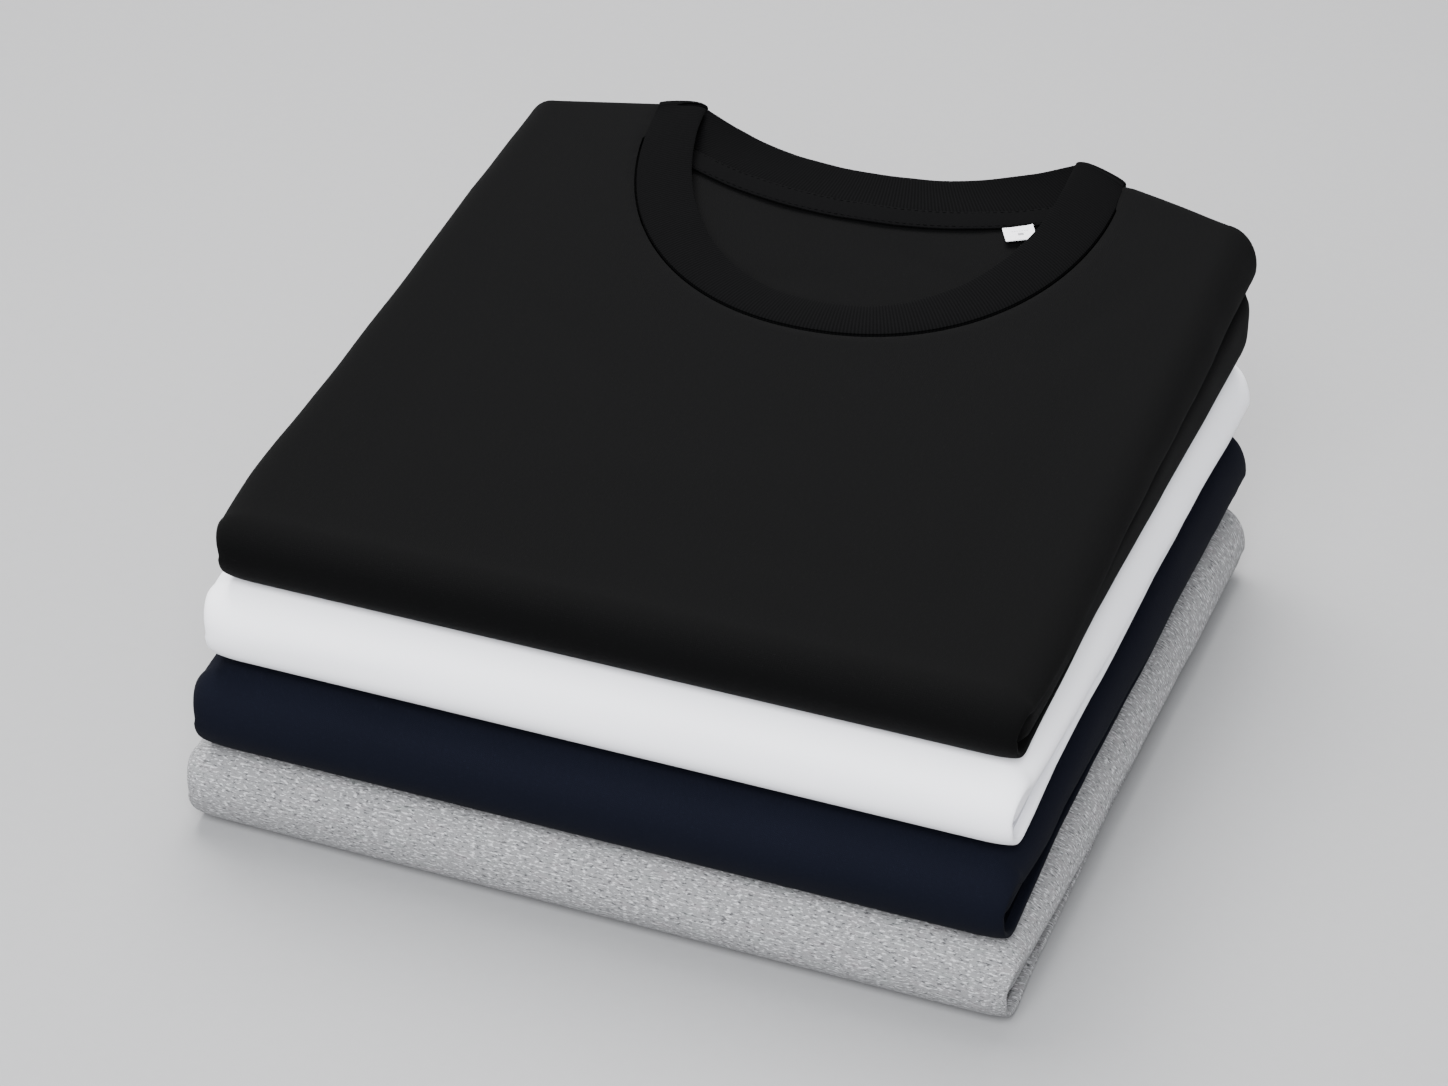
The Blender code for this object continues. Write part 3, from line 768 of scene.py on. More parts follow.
# %% Where the creases are
CREASES = {
    "grey": [
        Crease(-0.070, -0.151, 0.013, 1.0, 0.0, 0.06, 0.150, 0.0050, 0.0006),
        Crease(0.085, -0.151, 0.018, 1.0, 0.0, -0.05, 0.110, 0.0045, 0.0005),
        Crease(0.151, 0.020, 0.024, 0.05, 1.0, 0.00, 0.120, 0.0050, 0.0008),
        Crease(0.151, -0.080, 0.022, 0.00, 1.0, 0.05, 0.070, 0.0040, 0.0006),
        Crease(-0.151, -0.040, 0.023, 0.00, 1.0, 0.03, 0.140, 0.0050, 0.0008),
        Crease(-0.020, 0.145, 0.022, 1.0, 0.0, 0.05, 0.120, 0.0050, 0.0007),
    ],
    "navy": [
        Crease(-0.040, -0.149, 0.046, 1.0, 0.0, -0.05, 0.180, 0.0055, 0.0006),
        Crease(0.105, -0.149, 0.041, 1.0, 0.0, 0.08, 0.070, 0.0045, 0.0005),
        Crease(0.148, 0.060, 0.053, 0.00, 1.0, -0.02, 0.110, 0.0050, 0.0008),
        Crease(0.148, -0.050, 0.052, 0.00, 1.0, 0.04, 0.090, 0.0045, 0.0006),
        Crease(-0.147, 0.030, 0.053, 0.00, 1.0, 0.02, 0.130, 0.0050, 0.0008),
        Crease(0.040, 0.148, 0.052, 1.0, 0.0, -0.04, 0.140, 0.0050, 0.0007),
    ],
    "white": [
        Crease(-0.095, -0.140, 0.074, 1.0, 0.0, 0.08, 0.090, 0.0050, 0.0005),
        Crease(0.030, -0.140, 0.078, 1.0, 0.0, -0.03, 0.160, 0.0060, 0.0006),
        Crease(0.147, 0.000, 0.084, 0.00, 1.0, 0.03, 0.120, 0.0050, 0.0007),
        Crease(0.147, 0.095, 0.083, 0.00, 1.0, -0.04, 0.070, 0.0045, 0.0008),
        Crease(-0.145, -0.010, 0.084, 0.00, 1.0, -0.02, 0.150, 0.0050, 0.0008),
        Crease(-0.050, 0.148, 0.083, 1.0, 0.0, 0.05, 0.130, 0.0050, 0.0007),
    ],
    "black": [
        Crease(-0.060, -0.134, 0.104, 1.0, 0.0, 0.04, 0.160, 0.0050, 0.0005),
        Crease(0.080, -0.133, 0.100, 1.0, 0.0, -0.05, 0.090, 0.0045, 0.0004),
        Crease(0.112, -0.020, 0.129, 0.10, 1.0, 0.12, 0.210, 0.0100, 0.0005),
        Crease(-0.108, -0.045, 0.126, -0.06, 1.0, 0.12, 0.170, 0.0110, 0.0005),
        Crease(-0.020, -0.060, 0.124, 1.0, 0.25, 0.03, 0.130, 0.0130, -0.0003),
        Crease(0.055, -0.088, 0.121, 1.0, -0.12, 0.0, 0.110, 0.0100, 0.0003),
        Crease(-0.060, -0.004, 0.131, 0.8, -0.60, -0.07, 0.070, 0.0080, 0.0004),
        Crease(0.108, 0.075, 0.141, 0.35, 1.0, 0.12, 0.080, 0.0080, 0.0005),
        Crease(-0.118, 0.085, 0.142, 0.25, -1.0, -0.12, 0.070, 0.0080, 0.0005),
        Crease(0.100, 0.145, 0.151, 1.0, 0.0, 0.0, 0.050, 0.0140, -0.0010),
        Crease(0.144, 0.040, 0.125, 0.00, 1.0, 0.10, 0.120, 0.0045, 0.0006),
        Crease(-0.141, 0.010, 0.124, 0.00, 1.0, 0.10, 0.140, 0.0045, 0.0007),
    ],
}
print({name: len(rows) for name, rows in CREASES.items()}, "creases")

# %% [markdown]
# ## The neck's own plan
#
# The neck is drawn on paper as a pattern cutter would: u to the right, w back from the
# shoulder line, both on the top of the black shirt.  The seam runs down round the front
# and more gently round the back.  The front panel is cut along it.

# %% Neck plan
NECK_X, NECK_Y, NECK_TURN, NECK_LEAN = 0.00035, 0.13989, math.radians(3.0), 0.055
SEAM_HALF, SEAM_DROP, EDGE_HALF, EDGE_DROP = 0.091, 0.1105, 0.071, 0.0960
BACK_SEAM_DROP, BACK_EDGE_DROP, PEAK_RISE, ROUNDNESS = 0.0290, 0.0150, 0.006, 2.12
PEAK_LIFT, FRONT_SAG = 0.0048, 0.0028       # the rib's peaks stand up, its middle sinks
BACK_SAG, BACK_SEAM_DEPTH = 0.0043, 0.0046  # depths below the top, behind the neck
SEAM_RISE_LEFT, SEAM_RISE_RIGHT = 0.0052, -0.0012
black = FOLDS["black"]


def neck(u, w, depth):
    """Places of points of the neck's plan, a depth below the black shirt's top."""
    lean = u - NECK_LEAN * np.minimum(w, 0.0)
    x = NECK_X + lean * math.cos(NECK_TURN) - w * math.sin(NECK_TURN)
    y = NECK_Y + lean * math.sin(NECK_TURN) + w * math.cos(NECK_TURN)
    return np.stack([x, y, black.top(y) - depth + 0 * x], axis=-1)


def neck_plan(places):
    """The neck plan's u and w of places on the shirt."""
    dx, dy = places[..., 0] - NECK_X, places[..., 1] - NECK_Y
    lean = dx * math.cos(NECK_TURN) + dy * math.sin(NECK_TURN)
    w = dy * math.cos(NECK_TURN) - dx * math.sin(NECK_TURN)
    return lean + NECK_LEAN * np.minimum(w, 0.0), w


def front_curve(half, drop, turn, shift=0.0):
    """The neck's front curve: turn is 0 at the left shoulder and 1 at the right."""
    across, down = np.cos(np.pi * turn), np.abs(np.sin(np.pi * turn))
    u = -half * np.sign(across) * np.abs(across) ** (2 / ROUNDNESS)
    return u, shift - drop * down ** (2 / ROUNDNESS)


def back_curve(half, drop, turn, shift=0.0):
    """The neck's back curve, left to right."""
    share = 2 * turn - 1
    return half * share, shift - drop * (1 - np.abs(share) ** 2.2)


print("neck seam is", round(SEAM_HALF * 2000), "mm from shoulder to shoulder")

# %% [markdown]
# ## Cutting the neck out of the black front panel
#
# The faces inside the neck line are deleted, and the points left along the hole are
# drawn onto the line itself, a little lower, as cloth dips into a seam.  That keeps the
# grid and its knit whole, which a Boolean cut wouldn't.  Near the shoulders the edge runs
# straight on to the back, a millimetre under the rib, so that no light shows between.

# %% Neck hole
SEAM_CLEAR, SHOULDER_CLEAR, SHOULDER_LINE = 0.0004, -0.0010, -0.014
SEAM_DIP = 0.0007                       # how deep the panel's edge sinks at the seam


def hole_line():
    """Dense points along the neck hole's edge, in the neck plan."""
    u, w = front_curve(SEAM_HALF + SEAM_CLEAR, SEAM_DROP + SEAM_CLEAR, np.linspace(0, 1, 900))
    keep = w < SHOULDER_LINE
    line = np.stack([u[keep], w[keep]], axis=1)
    wide = SEAM_HALF + SHOULDER_CLEAR
    rise = np.linspace(SHOULDER_LINE, 0.05, 160)
    left = np.stack([np.full_like(rise, -wide), rise], axis=1)
    right = np.stack([np.full_like(rise, wide), rise], axis=1)
    return np.concatenate([left[::-1], line, right])


def in_hole(u, w):
    front = (np.abs(u) / (SEAM_HALF + SEAM_CLEAR)) ** ROUNDNESS
    front = front + (np.maximum(-w, 0) / (SEAM_DROP + SEAM_CLEAR)) ** ROUNDNESS
    behind = (w > SHOULDER_LINE) & (np.abs(u) < SEAM_HALF + SHOULDER_CLEAR)
    return ((w <= 0) & (front < 1)) | behind


def open_neck(places):
    """Draw the points beside the hole onto its edge; returns places and faces to drop."""
    upper = np.arange(places.shape[0]) >= UNDER + TURN
    u, w = neck_plan(places)
    middle_u = (u[:-1, :-1] + u[1:, 1:] + u[:-1, 1:] + u[1:, :-1]) / 4
    middle_w = (w[:-1, :-1] + w[1:, 1:] + w[:-1, 1:] + w[1:, :-1]) / 4
    drop = in_hole(middle_u, middle_w) & upper[:-1, None]
    near_drop = np.zeros(u.shape, bool)
    near_keep = np.zeros(u.shape, bool)
    for rows in (slice(0, -1), slice(1, None)):
        for columns in (slice(0, -1), slice(1, None)):
            near_drop[rows, columns] |= drop
            near_keep[rows, columns] |= ~drop
    rim = near_drop & near_keep
    line = hole_line()
    for row, column in np.argwhere(rim):
        gaps = np.hypot(line[:, 0] - u[row, column], line[:, 1] - w[row, column])
        new_u, new_w = line[gaps.argmin()]
        if row < UNDER + TURN + TOP:
            places[row, column] = neck(np.array(new_u), np.array(new_w), SEAM_DIP)
        else:
            moved = neck(np.array(new_u), np.array(w[row, column]), 0.0)
            places[row, column, 0] = moved[0]
    return places, drop


def delete_faces(piece, drop):
    """Delete the grid faces that are marked, by their row and column."""
    columns = drop.shape[1]
    edit(piece)
    bpy.ops.mesh.select_mode(type="FACE")
    bpy.ops.object.mode_set(mode="OBJECT")
    for face in piece.data.polygons:
        face.select = bool(drop[face.index // columns, face.index % columns])
    bpy.ops.object.mode_set(mode="EDIT")
    bpy.ops.mesh.delete(type="FACE")
    bpy.ops.object.mode_set(mode="OBJECT")


print("hole edge has", len(hole_line()), "points")

# %% [markdown]
# ## Making the four front panels
#
# Each panel is laid, creased, and thickened inward to a wall 1.1 mm thick.  The black
# one is opened at the neck before it gets its wall.

# %% Front panels
fronts, cuts = {}, {}
for number, packet in enumerate(PACKETS):
    fold = FOLDS[packet.name]
    places = front_places(fold, 1.7 * number + 0.6)
    flat = flat_places(places)
    drop = None
    if packet.name == "black":
        places, drop = open_neck(places)
    front = cloth_grid(packet.name + "_front_panel", places, flat)
    if drop is not None:
        delete_faces(front, drop)
    face_up(front)
    crease(front, CREASES[packet.name])
    thicken(front, WALL)
    dress(front, JERSEY[packet.name], packet.name + "_jersey", packet.name + "_front")
    fronts[packet.name] = front
    cuts[packet.name] = tuple(float(v) for v in flat[-1, -1])
    print("  cut", [round(v, 3) for v in cuts[packet.name]], "m")

# %% [markdown]
# ## The layers folded inside
#
# Below each lip shows what is folded inside: the shirt's sides and sleeves.  Along the
# sides of the lower shirts they lie flush with the lip and go on to a round foot; those
# of the black shirt are one soft roll.  At the back edge they are separate folds lying on
# each other.  The grid's columns run round the packet's plan and its rows up its side; it
# is rolled to a tube, its ends are merged, and the two hidden openings are filled.

# %% Plan of the layers
AROUND, UP = 260, 34
SIDE_IN, FRONT_IN, BACK_IN = 0.0003, 0.0075, 0.0014     # how far the plan stands in
FRONT_ROUND, BACK_ROUND = 0.008, 0.010                  # the radii of its corners


def layers_plan(fold):
    """Points round the layers' plan, and the direction out of each."""
    left, right = fold.left + SIDE_IN, fold.right - SIDE_IN
    front, back = fold.front + FRONT_IN, fold.back - BACK_IN
    corner = back - fold.packet.fall
    line = []

    def arc(x, y, radius, start, end):
        for angle in np.radians(np.linspace(start, end, 14)):
            line.append((x + radius * math.cos(angle), y + radius * math.sin(angle)))

    arc(right - FRONT_ROUND, front + FRONT_ROUND, FRONT_ROUND, -90, 0)
    arc(right - BACK_ROUND, corner - BACK_ROUND, BACK_ROUND, 0, 82)
    line.append((SHOULDER_HALF, back))
    line.append((-SHOULDER_HALF, back))
    arc(left + BACK_ROUND, corner - BACK_ROUND, BACK_ROUND, 98, 180)
    arc(left + FRONT_ROUND, front + FRONT_ROUND, FRONT_ROUND, 180, 270)
    line.append(line[0])
    line = np.array(line)
    ends = np.maximum(0, 1 - (line[:, 1] - fold.front) / (2.2 * fold.packet.thick))
    line[:, 0] -= np.sign(line[:, 0]) * NARROW_RIGHT * ends
    far = np.append(0, np.cumsum(np.linalg.norm(np.diff(line, axis=0), axis=1)))
    at = np.linspace(0, far[-1], AROUND + 1)
    plan = np.stack([np.interp(at, far, line[:, k]) for k in (0, 1)], axis=1)
    run = np.roll(plan[:-1], -1, axis=0) - np.roll(plan[:-1], 1, axis=0)
    run = np.append(run, run[:1], axis=0)
    out = np.stack([run[:, 1], -run[:, 0]], axis=1)
    return plan, out / np.linalg.norm(out, axis=1)[:, None], at


print("plan of the layers has", AROUND, "points")

# %% Places of the layers' points
BELOW, ABOVE = 0.12, 0.10               # the hidden rows' share of the side, at each end
ROLL, FOOT, FLUSH, UNEVEN = 0.0052, 0.0066, 0.0003, 0.0003  # depths at the sides
SLIT, BACK_CURVE, STAGGER = 0.0026, 0.0032, 0.0009          # and at the back
HIDDEN_IN, MOST_IN = 0.006, 0.0105      # the hidden rows turn in, up to a most
LIFT_OFF, LIP_GAP = 0.0037, 0.0004      # above the panel's low edge, and below its lip


def layers_places(fold, seed):
    """Where each point of the layers lies: columns round the plan, rows up the side."""
    plan, out, at = layers_plan(fold)
    packet = fold.packet
    level = np.linspace(-BELOW, 1 + ABOVE, UP + 1)[:, None]
    inner = np.clip(level, 0, 1)
    backness = np.clip((out[:, 1] - 0.55) / 0.40, 0, 1)[None, :]
    backness = backness * backness * (3 - 2 * backness)
    shift = 0.035 * drift(at, 0.19, seed)[None, :]
    roll = np.abs(2 * np.clip(inner + shift * inner * (1 - inner) * 4, 0, 1) - 1)
    soft = 1 - (1 - roll ** 3.4) ** 0.5
    lobe = np.abs(2 * ((inner * packet.layers + shift * 6 * inner * (1 - inner)) % 1) - 1)
    lobed = 0.16 + 0.84 * (1 - np.sqrt(np.maximum(1 - lobe ** 2, 0)))
    tucked = 0.7 * fold.tuck(plan[:, 1])[None, :]
    flush = FLUSH + np.maximum(tucked - BACK_TUCK, 0) * inner ** 3
    flush = flush + FOOT * (1 - np.sqrt(1 - (1 - inner) ** 2.2))
    side = ROLL * soft if packet.name == "black" else flush
    wide = side * (1 - backness) + SLIT * lobed * backness
    wide = wide + BACK_CURVE * roll ** 6 * backness
    uneven = UNEVEN * (1 + drift(at, 0.10, seed + 2.0)[None, :]) * (1 - roll ** 2)
    step = np.floor(inner * packet.layers - 1e-6)
    stagger = STAGGER * (1 + np.sin(2.4 * step + seed * 3)) * backness
    hidden = np.where(level < 0, -level / BELOW,
                      np.where(level > 1, (level - 1) / ABOVE, 0))
    inset = np.minimum(wide + uneven + stagger + HIDDEN_IN * hidden, MOST_IN)
    low = fold.base + LIFT_OFF
    high = fold.lip(plan[:, 1])[None, :] - LIP_GAP
    z = low + (high - low) * inner + np.where(level < 0, -0.0018, 0.0002) * hidden
    x = plan[:, 0][None, :] - out[:, 0][None, :] * inset
    y = plan[:, 1][None, :] - out[:, 1][None, :] * inset
    height = inner * 0.03 + 0 * x
    return np.stack([x, y, z], axis=2), np.stack([at[None, :] + 0 * x, height], axis=2)


sample = layers_places(FOLDS["grey"], 0.0)[0]
print("the layers have", sample.shape[0], "rows of", sample.shape[1], "points")


# %% Layers
def close_tube(piece):
    """Merge the rolled grid's two edges and fill its ends."""
    edit(piece)
    bpy.ops.mesh.select_all(action="SELECT")
    bpy.ops.mesh.remove_doubles(threshold=1e-6)
    bpy.ops.mesh.select_all(action="DESELECT")
    bpy.ops.mesh.select_mode(type="EDGE")
    bpy.ops.mesh.select_non_manifold()
    bpy.ops.mesh.fill_holes(sides=0)
    bpy.ops.mesh.select_all(action="SELECT")
    bpy.ops.mesh.normals_make_consistent(inside=False)
    bpy.ops.object.mode_set(mode="OBJECT")


for number, packet in enumerate(PACKETS):
    places, flat = layers_places(FOLDS[packet.name], 2.3 * number + 0.5)
    piece = cloth_grid(packet.name + "_inner_layers", places, flat)
    close_tube(piece)
    dress(piece, JERSEY[packet.name], packet.name + "_jersey", packet.name + "_layers")

# %% [markdown]
# ## The inside of the back panel
#
# Through the neck we look at the inside of the shirt's back.  It lies a few millimetres
# lower than the front, sinks a little on the way forward, and behind the neck seam it
# goes down over the back of the packet, which is all that shows from behind.

# %% Back panel
PANEL_DIP, PANEL_RISE = 0.0040, 0.0024      # it sinks to the front, rises at the shoulders
RISE_FROM, RISE_OVER = 0.88, 0.10           # where that rise starts, as shares of the neck
EDGE_IN, SEAM_REACH = 0.0040, 0.0038        # where its drape ends, from edge and seam
PAST_LIP, SEAM_STEP = 0.002, 0.0016         # how far it goes down behind, and at once
UNDER_RIB = 0.003                           # it ends this far short of the front seam
ABOVE_SEAM = 0.0006                         # its face lies this far above the back seam
BACK_WALL = 0.0010


def back_places():
    """Rows from under the front rib to the seam, and on down the packet's back."""
    across = np.linspace(0, 1, 91)[None, :]
    turn = 0.5 + 0.49 * (2 * across - 1)
    u, w_seam = back_curve(SEAM_HALF, BACK_SEAM_DROP, turn)
    arch = (1 - np.abs(u / (SEAM_HALF - 0.001)) ** ROUNDNESS) ** (1 / ROUNDNESS)
    near = np.linspace(0, 1, 61)[:, None]
    top = BACK_SEAM_DEPTH - ABOVE_SEAM
    w = -(SEAM_DROP - UNDER_RIB) * arch * (1 - near) + w_seam * near
    dip = PANEL_DIP * arch * (1 - near)
    ripple = 0.0003 * drift(u + 0.5 * w, 0.06, 1.3) * near * (1 - near) * 4
    edge = np.clip((np.abs(u) / SEAM_HALF - RISE_FROM) / RISE_OVER, 0, 1)
    raised = PANEL_RISE * edge * np.clip((w + 0.012) / 0.008, 0, 1)
    inside = neck(u * (1 + 0.10 * edge) + 0 * w, w, top + dip + ripple - raised)

    down = np.linspace(0, 1, 25)[1:, None]
    seam = inside[-1][None, :, :]
    edge_y = np.maximum(black.back - EDGE_IN, seam[:, :, 1] + SEAM_REACH)
    height = seam[:, :, 2] - black.lip(edge_y) + PAST_LIP
    reach = edge_y - seam[:, :, 1]
    angle = down * np.pi / 2
    y = seam[:, :, 1] + reach * np.sin(angle) ** 1.3
    z = seam[:, :, 2] - height * (1 - np.cos(angle)) - SEAM_STEP * np.clip(down / 0.15, 0, 1)
    y = y + 0.0005 * drift(seam[:, :, 0], 0.09, 0.4) * down
    behind = np.stack([seam[:, :, 0] + 0 * y, y, z], axis=2)
    return np.concatenate([inside, behind])


places = back_places()
flat = flat_places(places)
back_panel = cloth_grid("black_back_panel", places, flat)
face_up(back_panel)
crease(back_panel, [
    Crease(-0.020, 0.060, 0.130, 1.0, 0.35, 0.0, 0.060, 0.0070, 0.0004),
    Crease(0.035, 0.085, 0.133, 1.0, -0.2, 0.0, 0.050, 0.0060, 0.0003),
    Crease(-0.030, 0.147, 0.130, 1.0, 0.0, 0.1, 0.080, 0.0050, 0.0005),
])
thicken(back_panel, BACK_WALL)
dress(back_panel, black_jersey, "black_jersey", "black_back")
cuts["back"] = tuple(float(v) for v in flat[-1, -1])

# %% [markdown]
# ## The rib collar
#
# The collar is one strip of rib, folded lengthwise so that its free edge is a soft round
# fold.  It lies on the front, turns over at each shoulder, and lies inside the back.
# Its section is a long narrow U, open at the seam, that is carried round that path; grid
# columns follow the path, where the strip's two ends meet, and rows go round the section.

# %% Collar path
RIB, RIB_FOLD, RIB_LAYER = 0.0018, 0.0018, 0.0005   # both layers, the turn, one layer
SEAM_OPEN = 0.38                        # the U's open part at the seam, in radians
SKIN = 0.0006                           # the front rib's middle is this far below the top
DEEPEN = 0.3                            # the back seam's share of the way to its depth


def shoulder_rise(u, middle):
    """How far the seam runs on past the shoulder line, to the back edge of the top."""
    ahead = np.where(u < 0, SEAM_RISE_LEFT, SEAM_RISE_RIGHT)
    return ahead * (1 - middle) ** 6


def collar_path():
    """Seam, free edge and facing direction all round the collar."""
    turn = np.linspace(0, 1, 131)
    middle = np.sin(np.pi * turn)
    u, w = front_curve(SEAM_HALF, SEAM_DROP, turn)
    front_seam = neck(u, w + shoulder_rise(u, middle), SKIN)
    front_edge = neck(*front_curve(EDGE_HALF, EDGE_DROP, turn, PEAK_RISE),
                      SKIN + FRONT_SAG * middle - PEAK_LIFT * (1 - middle))
    turn = np.linspace(1, 0, 71)
    middle = np.sin(np.pi * turn)
    peak = SKIN - PEAK_LIFT + 2 * RIB_FOLD
    u, w = back_curve(SEAM_HALF, BACK_SEAM_DROP, turn)
    deeper = np.minimum(middle / DEEPEN, 1)
    back_seam = neck(u, w + shoulder_rise(u, middle), peak + (BACK_SEAM_DEPTH - peak) * deeper)
    back_edge = neck(*back_curve(EDGE_HALF, BACK_EDGE_DROP, turn, PEAK_RISE),
                     peak + (BACK_SAG - peak) * middle ** 0.8)
    seams, edges, faces = [], [], []

    def add(seam, edge, face):
        seams.append(seam)
        edges.append(edge)
        faces.append(np.broadcast_to(face, seam.shape))

    def turn_over(first, last):
        """The rib's fold at a shoulder, from one pair of points to the other."""
        outward = np.cross(first[1] - first[0], (0, 0, 1))
        outward *= np.sign(outward[1]) / np.linalg.norm(outward)
        angle = np.radians(np.arange(15, 180, 15))[:, None]
        face = np.array((0, 0, 1)) * np.cos(angle) + outward * np.sin(angle)
        centre = [(a + b) / 2 for a, b in zip(first, last)]
        return centre[0] + face * RIB_FOLD, centre[1] + face * RIB_FOLD, face

    add(front_seam, front_edge, (0, 0, 1))
    add(*turn_over((front_seam[-1], front_edge[-1]), (back_seam[0], back_edge[0])))
    add(back_seam, back_edge, (0, 0, -1))
    left = turn_over((front_seam[0], front_edge[0]), (back_seam[-1], back_edge[-1]))
    add(*(part[::-1] for part in left))
    return [np.concatenate(part + [part[0][:1]]) for part in (seams, edges, faces)]


print("collar path has", len(collar_path()[0]), "stations")

# %% Collar
BOW, BOW_SWAY = 0.0005, 0.00025         # how the band's middle rises, and its edge sways
PEAK_BOW, PEAK_REACH = 0.0014, 0.022    # its free edge bends down near the peaks


def collar_places():
    """The U section carried round the path, with its flat places."""
    seam, edge, face = collar_path()
    middle = (seam + edge) / 2
    far = np.append(0, np.cumsum(np.linalg.norm(np.diff(middle, axis=0), axis=1)))
    angle = np.linspace(-1, 1, 33)[:, None] * (np.pi - SEAM_OPEN)
    across = np.sign(np.cos(angle)) * np.abs(np.cos(angle)) ** 0.55
    thick = np.sign(np.sin(angle)) * np.abs(np.sin(angle)) ** 0.6
    half = (edge - seam) / 2
    bow = BOW * (1 - across ** 2) + BOW_SWAY * drift(far, 0.07, 0.8)[None, :] * (across > 0)
    near_peak = np.clip((neck_plan(middle)[1] + PEAK_REACH) / PEAK_REACH, 0, 1) ** 2
    bow = bow - PEAK_BOW * near_peak[None, :] * np.maximum(across, 0) ** 3
    plump = RIB / 2 * (1 - 0.18 * across) * thick
    places = (middle[None] + across[:, :, None] * half[None]
              + (plump + bow)[:, :, None] * face[None])
    steps = np.linalg.norm(np.diff(places[:, 65], axis=0), axis=1)
    v = np.append(0, np.cumsum(steps))[:, None]
    return places, np.stack([far[None, :] + 0 * v, v + 0 * far[None, :]], axis=2)


def close_ring(piece):
    """Merge the two ends of a strip that goes round, and turn its faces out."""
    edit(piece)
    bpy.ops.mesh.select_all(action="SELECT")
    bpy.ops.mesh.remove_doubles(threshold=1e-6)
    bpy.ops.mesh.normals_make_consistent(inside=False)
    bpy.ops.object.mode_set(mode="OBJECT")


PEAK_FROM_U, PEAK_FROM_W = 0.055, -0.012    # the peaks are past these in the neck's plan


def soften_peaks(piece):
    """Smooth the rib where it turns over at the two shoulders."""
    edit(piece)
    bpy.ops.mesh.select_mode(type="VERT")
    bpy.ops.object.mode_set(mode="OBJECT")
    for vertex in piece.data.vertices:
        u, w = neck_plan(np.array(vertex.co))
        vertex.select = bool(abs(u) > PEAK_FROM_U and w > PEAK_FROM_W)
    bpy.ops.object.mode_set(mode="EDIT")
    bpy.ops.mesh.vertices_smooth(factor=0.5, repeat=4)
    bpy.ops.object.mode_set(mode="OBJECT")


places, flat = collar_places()
collar = cloth_grid("black_rib_collar", places, flat)
close_ring(collar)
soften_peaks(collar)
face_up(collar)
thicken(collar, RIB_LAYER)
dress(collar, black_rib, "black_rib", "black_collar")

# %% [markdown]
# ## Neck tape and label
#
# The tape covers the back neck seam.  It is a narrow woven strip that lies on the back
# panel, held along both edges by a row of stitches.  The label is a small piece of satin
# caught under the tape's front edge; its free corner lifts a little, so it throws a thin
# shadow.

# %% Neck tape
TAPE_LENGTH, TAPE_WIDTH, TAPE = 0.180, 0.0105, 0.0009
TAPE_ARCH, TAPE_SWAY, TAPE_START = 0.0003, 0.00012, 0.0002
TAPE_ABOVE = 0.0008                     # the tape lies this far above the seam's depth


def tape_place(turn, across, depth):
    """Places on the tape: turn along the back seam, across from the seam forward."""
    u, w = back_curve(SEAM_HALF, BACK_SEAM_DROP, turn)
    return neck(u + 0 * across, w - TAPE_START - TAPE_WIDTH * across, depth)


along = np.linspace(0.05, 0.95, 121)[None, :]
across = np.linspace(1, 0, 9)[:, None]
arch = TAPE_ARCH * (1 - (2 * across - 1) ** 4)
lie = BACK_SEAM_DEPTH - TAPE_ABOVE - TAPE - arch + TAPE_SWAY * drift(along, 0.2, 0.7)
places = tape_place(along, across, lie)
tape = cloth_grid("black_neck_tape_strip", places, flat_places(places))
face_up(tape)
thicken(tape, TAPE * 0.8, bevel=0.0002)
dress(tape, black_tape, "black_tape", "black_neck_tape")
cuts["tape"] = (TAPE_LENGTH, TAPE_WIDTH)

# %% Size label
LABEL_WIDTH, LABEL_SHOWS, LABEL_PLACE = 0.0114, 0.0088, 0.0574
LABEL_HIDDEN = 0.25                     # the part under the tape, as a share of the rest
LABEL_TURN, LABEL_WALL = math.radians(21.0), 0.0003
LABEL_LIFT, LABEL_TILT, LABEL_ABOVE = 0.0010, 0.0004, 0.0016    # of its free edge
seam_turn = 0.5 + LABEL_PLACE / SEAM_HALF / 2
label_u, label_w = back_curve(SEAM_HALF, BACK_SEAM_DROP, seam_turn)
right_way = Vector((math.cos(LABEL_TURN), math.sin(LABEL_TURN)))
forward = Vector((right_way.y, -right_way.x))
share_u = np.linspace(-0.5, 0.5, 25)[None, :]
share_w = np.linspace(1.0, -LABEL_HIDDEN, 21)[:, None]
u = label_u + right_way.x * LABEL_WIDTH * share_u + forward.x * LABEL_SHOWS * share_w
w = (label_w - TAPE_WIDTH - 0.0006 + right_way.y * LABEL_WIDTH * share_u
     + forward.y * LABEL_SHOWS * share_w)
lifted = LABEL_LIFT * np.clip(share_w, 0, 1) ** 1.6 + LABEL_TILT * share_u
places = neck(u, w, BACK_SEAM_DEPTH - LABEL_ABOVE - lifted)
flat = np.stack([(share_u + 0.5) * LABEL_WIDTH + 0 * share_w,
                 (1 - share_w) * LABEL_SHOWS + 0 * share_u], axis=2)
label = cloth_grid("black_woven_label", places, flat)
face_up(label)
thicken(label, LABEL_WALL)
dress(label, satin, "label_satin", "black_size_label")

# %% [markdown]
# ## Stitches
#
# Each stitch is a small bead of thread.  One is modelled from a sphere, pressed flat and
# long, then copied along the seam with its own mesh and joined into one piece.

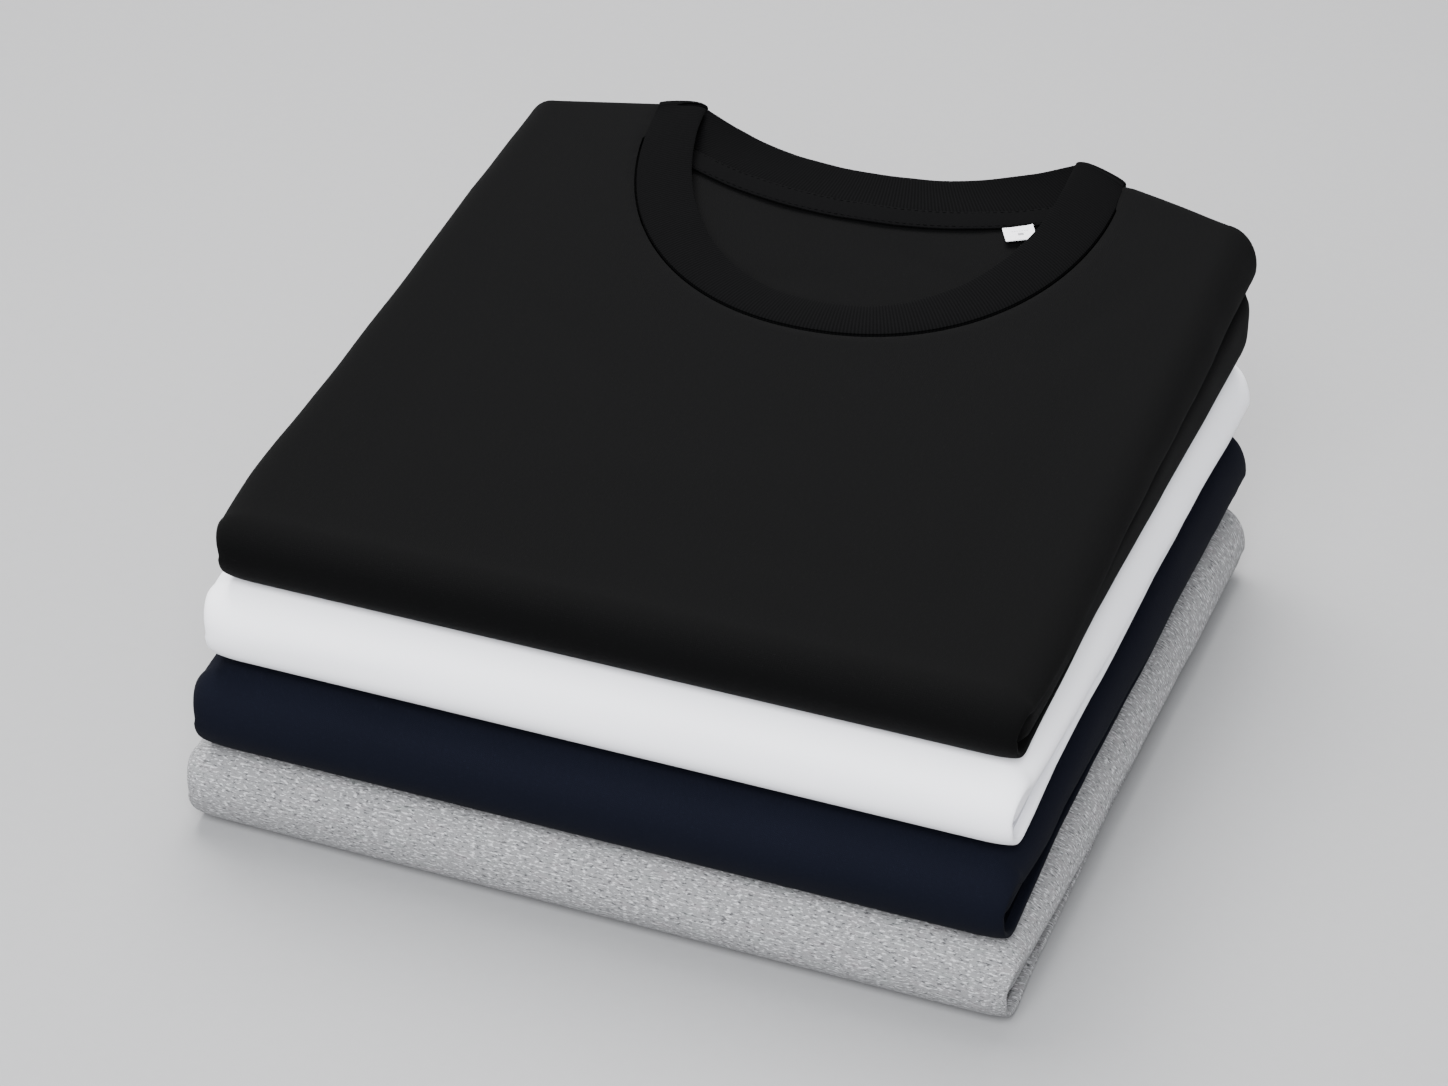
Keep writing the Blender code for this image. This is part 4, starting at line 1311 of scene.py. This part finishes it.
# %% Stitch rows
Row = namedtuple("Row", "start end across count")
STITCH_ROWS = [Row(0.07, 0.93, 0.10, 62), Row(0.07, 0.93, 0.90, 62)]
STITCH = (0.00085, 0.00018, 0.00014)    # half a stitch's length, width and height
STITCH_DEPTH, STITCH_AHEAD = BACK_SEAM_DEPTH - 0.0020, 0.004


def stitch_rows(name):
    """All stitches of the tape, joined into one piece."""
    bpy.ops.mesh.primitive_uv_sphere_add(segments=6, ring_count=4, radius=1.0)
    bead = bpy.context.object
    made = []
    for row in STITCH_ROWS:
        for turn in np.linspace(row.start, row.end, row.count):
            here, there = (tape_place(np.array(at), np.array(row.across), STITCH_DEPTH)
                           for at in (turn, turn + STITCH_AHEAD))
            copy = bead.copy()
            copy.data = bead.data.copy()
            bpy.context.collection.objects.link(copy)
            copy.location = here
            copy.scale = STITCH
            copy.rotation_euler = Vector(there - here).to_track_quat("X", "Z").to_euler()
            made.append(copy)
    bpy.data.objects.remove(bead)
    bpy.ops.object.select_all(action="DESELECT")
    for copy in made:
        copy.select_set(True)
    bpy.context.view_layer.objects.active = made[0]
    bpy.ops.object.join()
    piece = bpy.context.object
    piece.name = name
    bpy.ops.object.transform_apply(location=True, rotation=True, scale=True)
    return piece


def thread():
    finish = Finish("black thread")
    ply = finish.cloud(2600.0, 1.0)
    colour = finish.blend(ply, (0.0016, 0.0016, 0.0017), (0.0034, 0.0034, 0.0036))
    return finish.surface(colour, ply * 0.2 + 0.7, ply, 0.00002, Specular_IOR_Level=0.02)


stitching = stitch_rows("black_tape_stitching")
stitching.data.materials.clear()
stitching.data.materials.append(thread())
bpy.ops.object.shade_smooth()
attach(stitching, "root")
print("stitches:", sum(row.count for row in STITCH_ROWS))

# %% [markdown]
# ## What each sheet was cut to
#
# Each front panel's area is worked out from the size of the cloth that shows, laid flat.
# The fronts have round corners, the black one has its neck hole, and the back panel has a
# curved front edge, so their areas are less than their rectangles'.  The first two are
# estimates, and the last is set to agree with the panel's own surface.

# %% Sheets
ROUND_CORNERS, NECK_HOLE, BACK_SHAPE = 0.995, 0.0172, 0.77
for name, piece in fronts.items():
    width, length = cuts[name]
    neck_hole = NECK_HOLE if name == "black" else 0.0
    width * length * ROUND_CORNERS - neck_hole
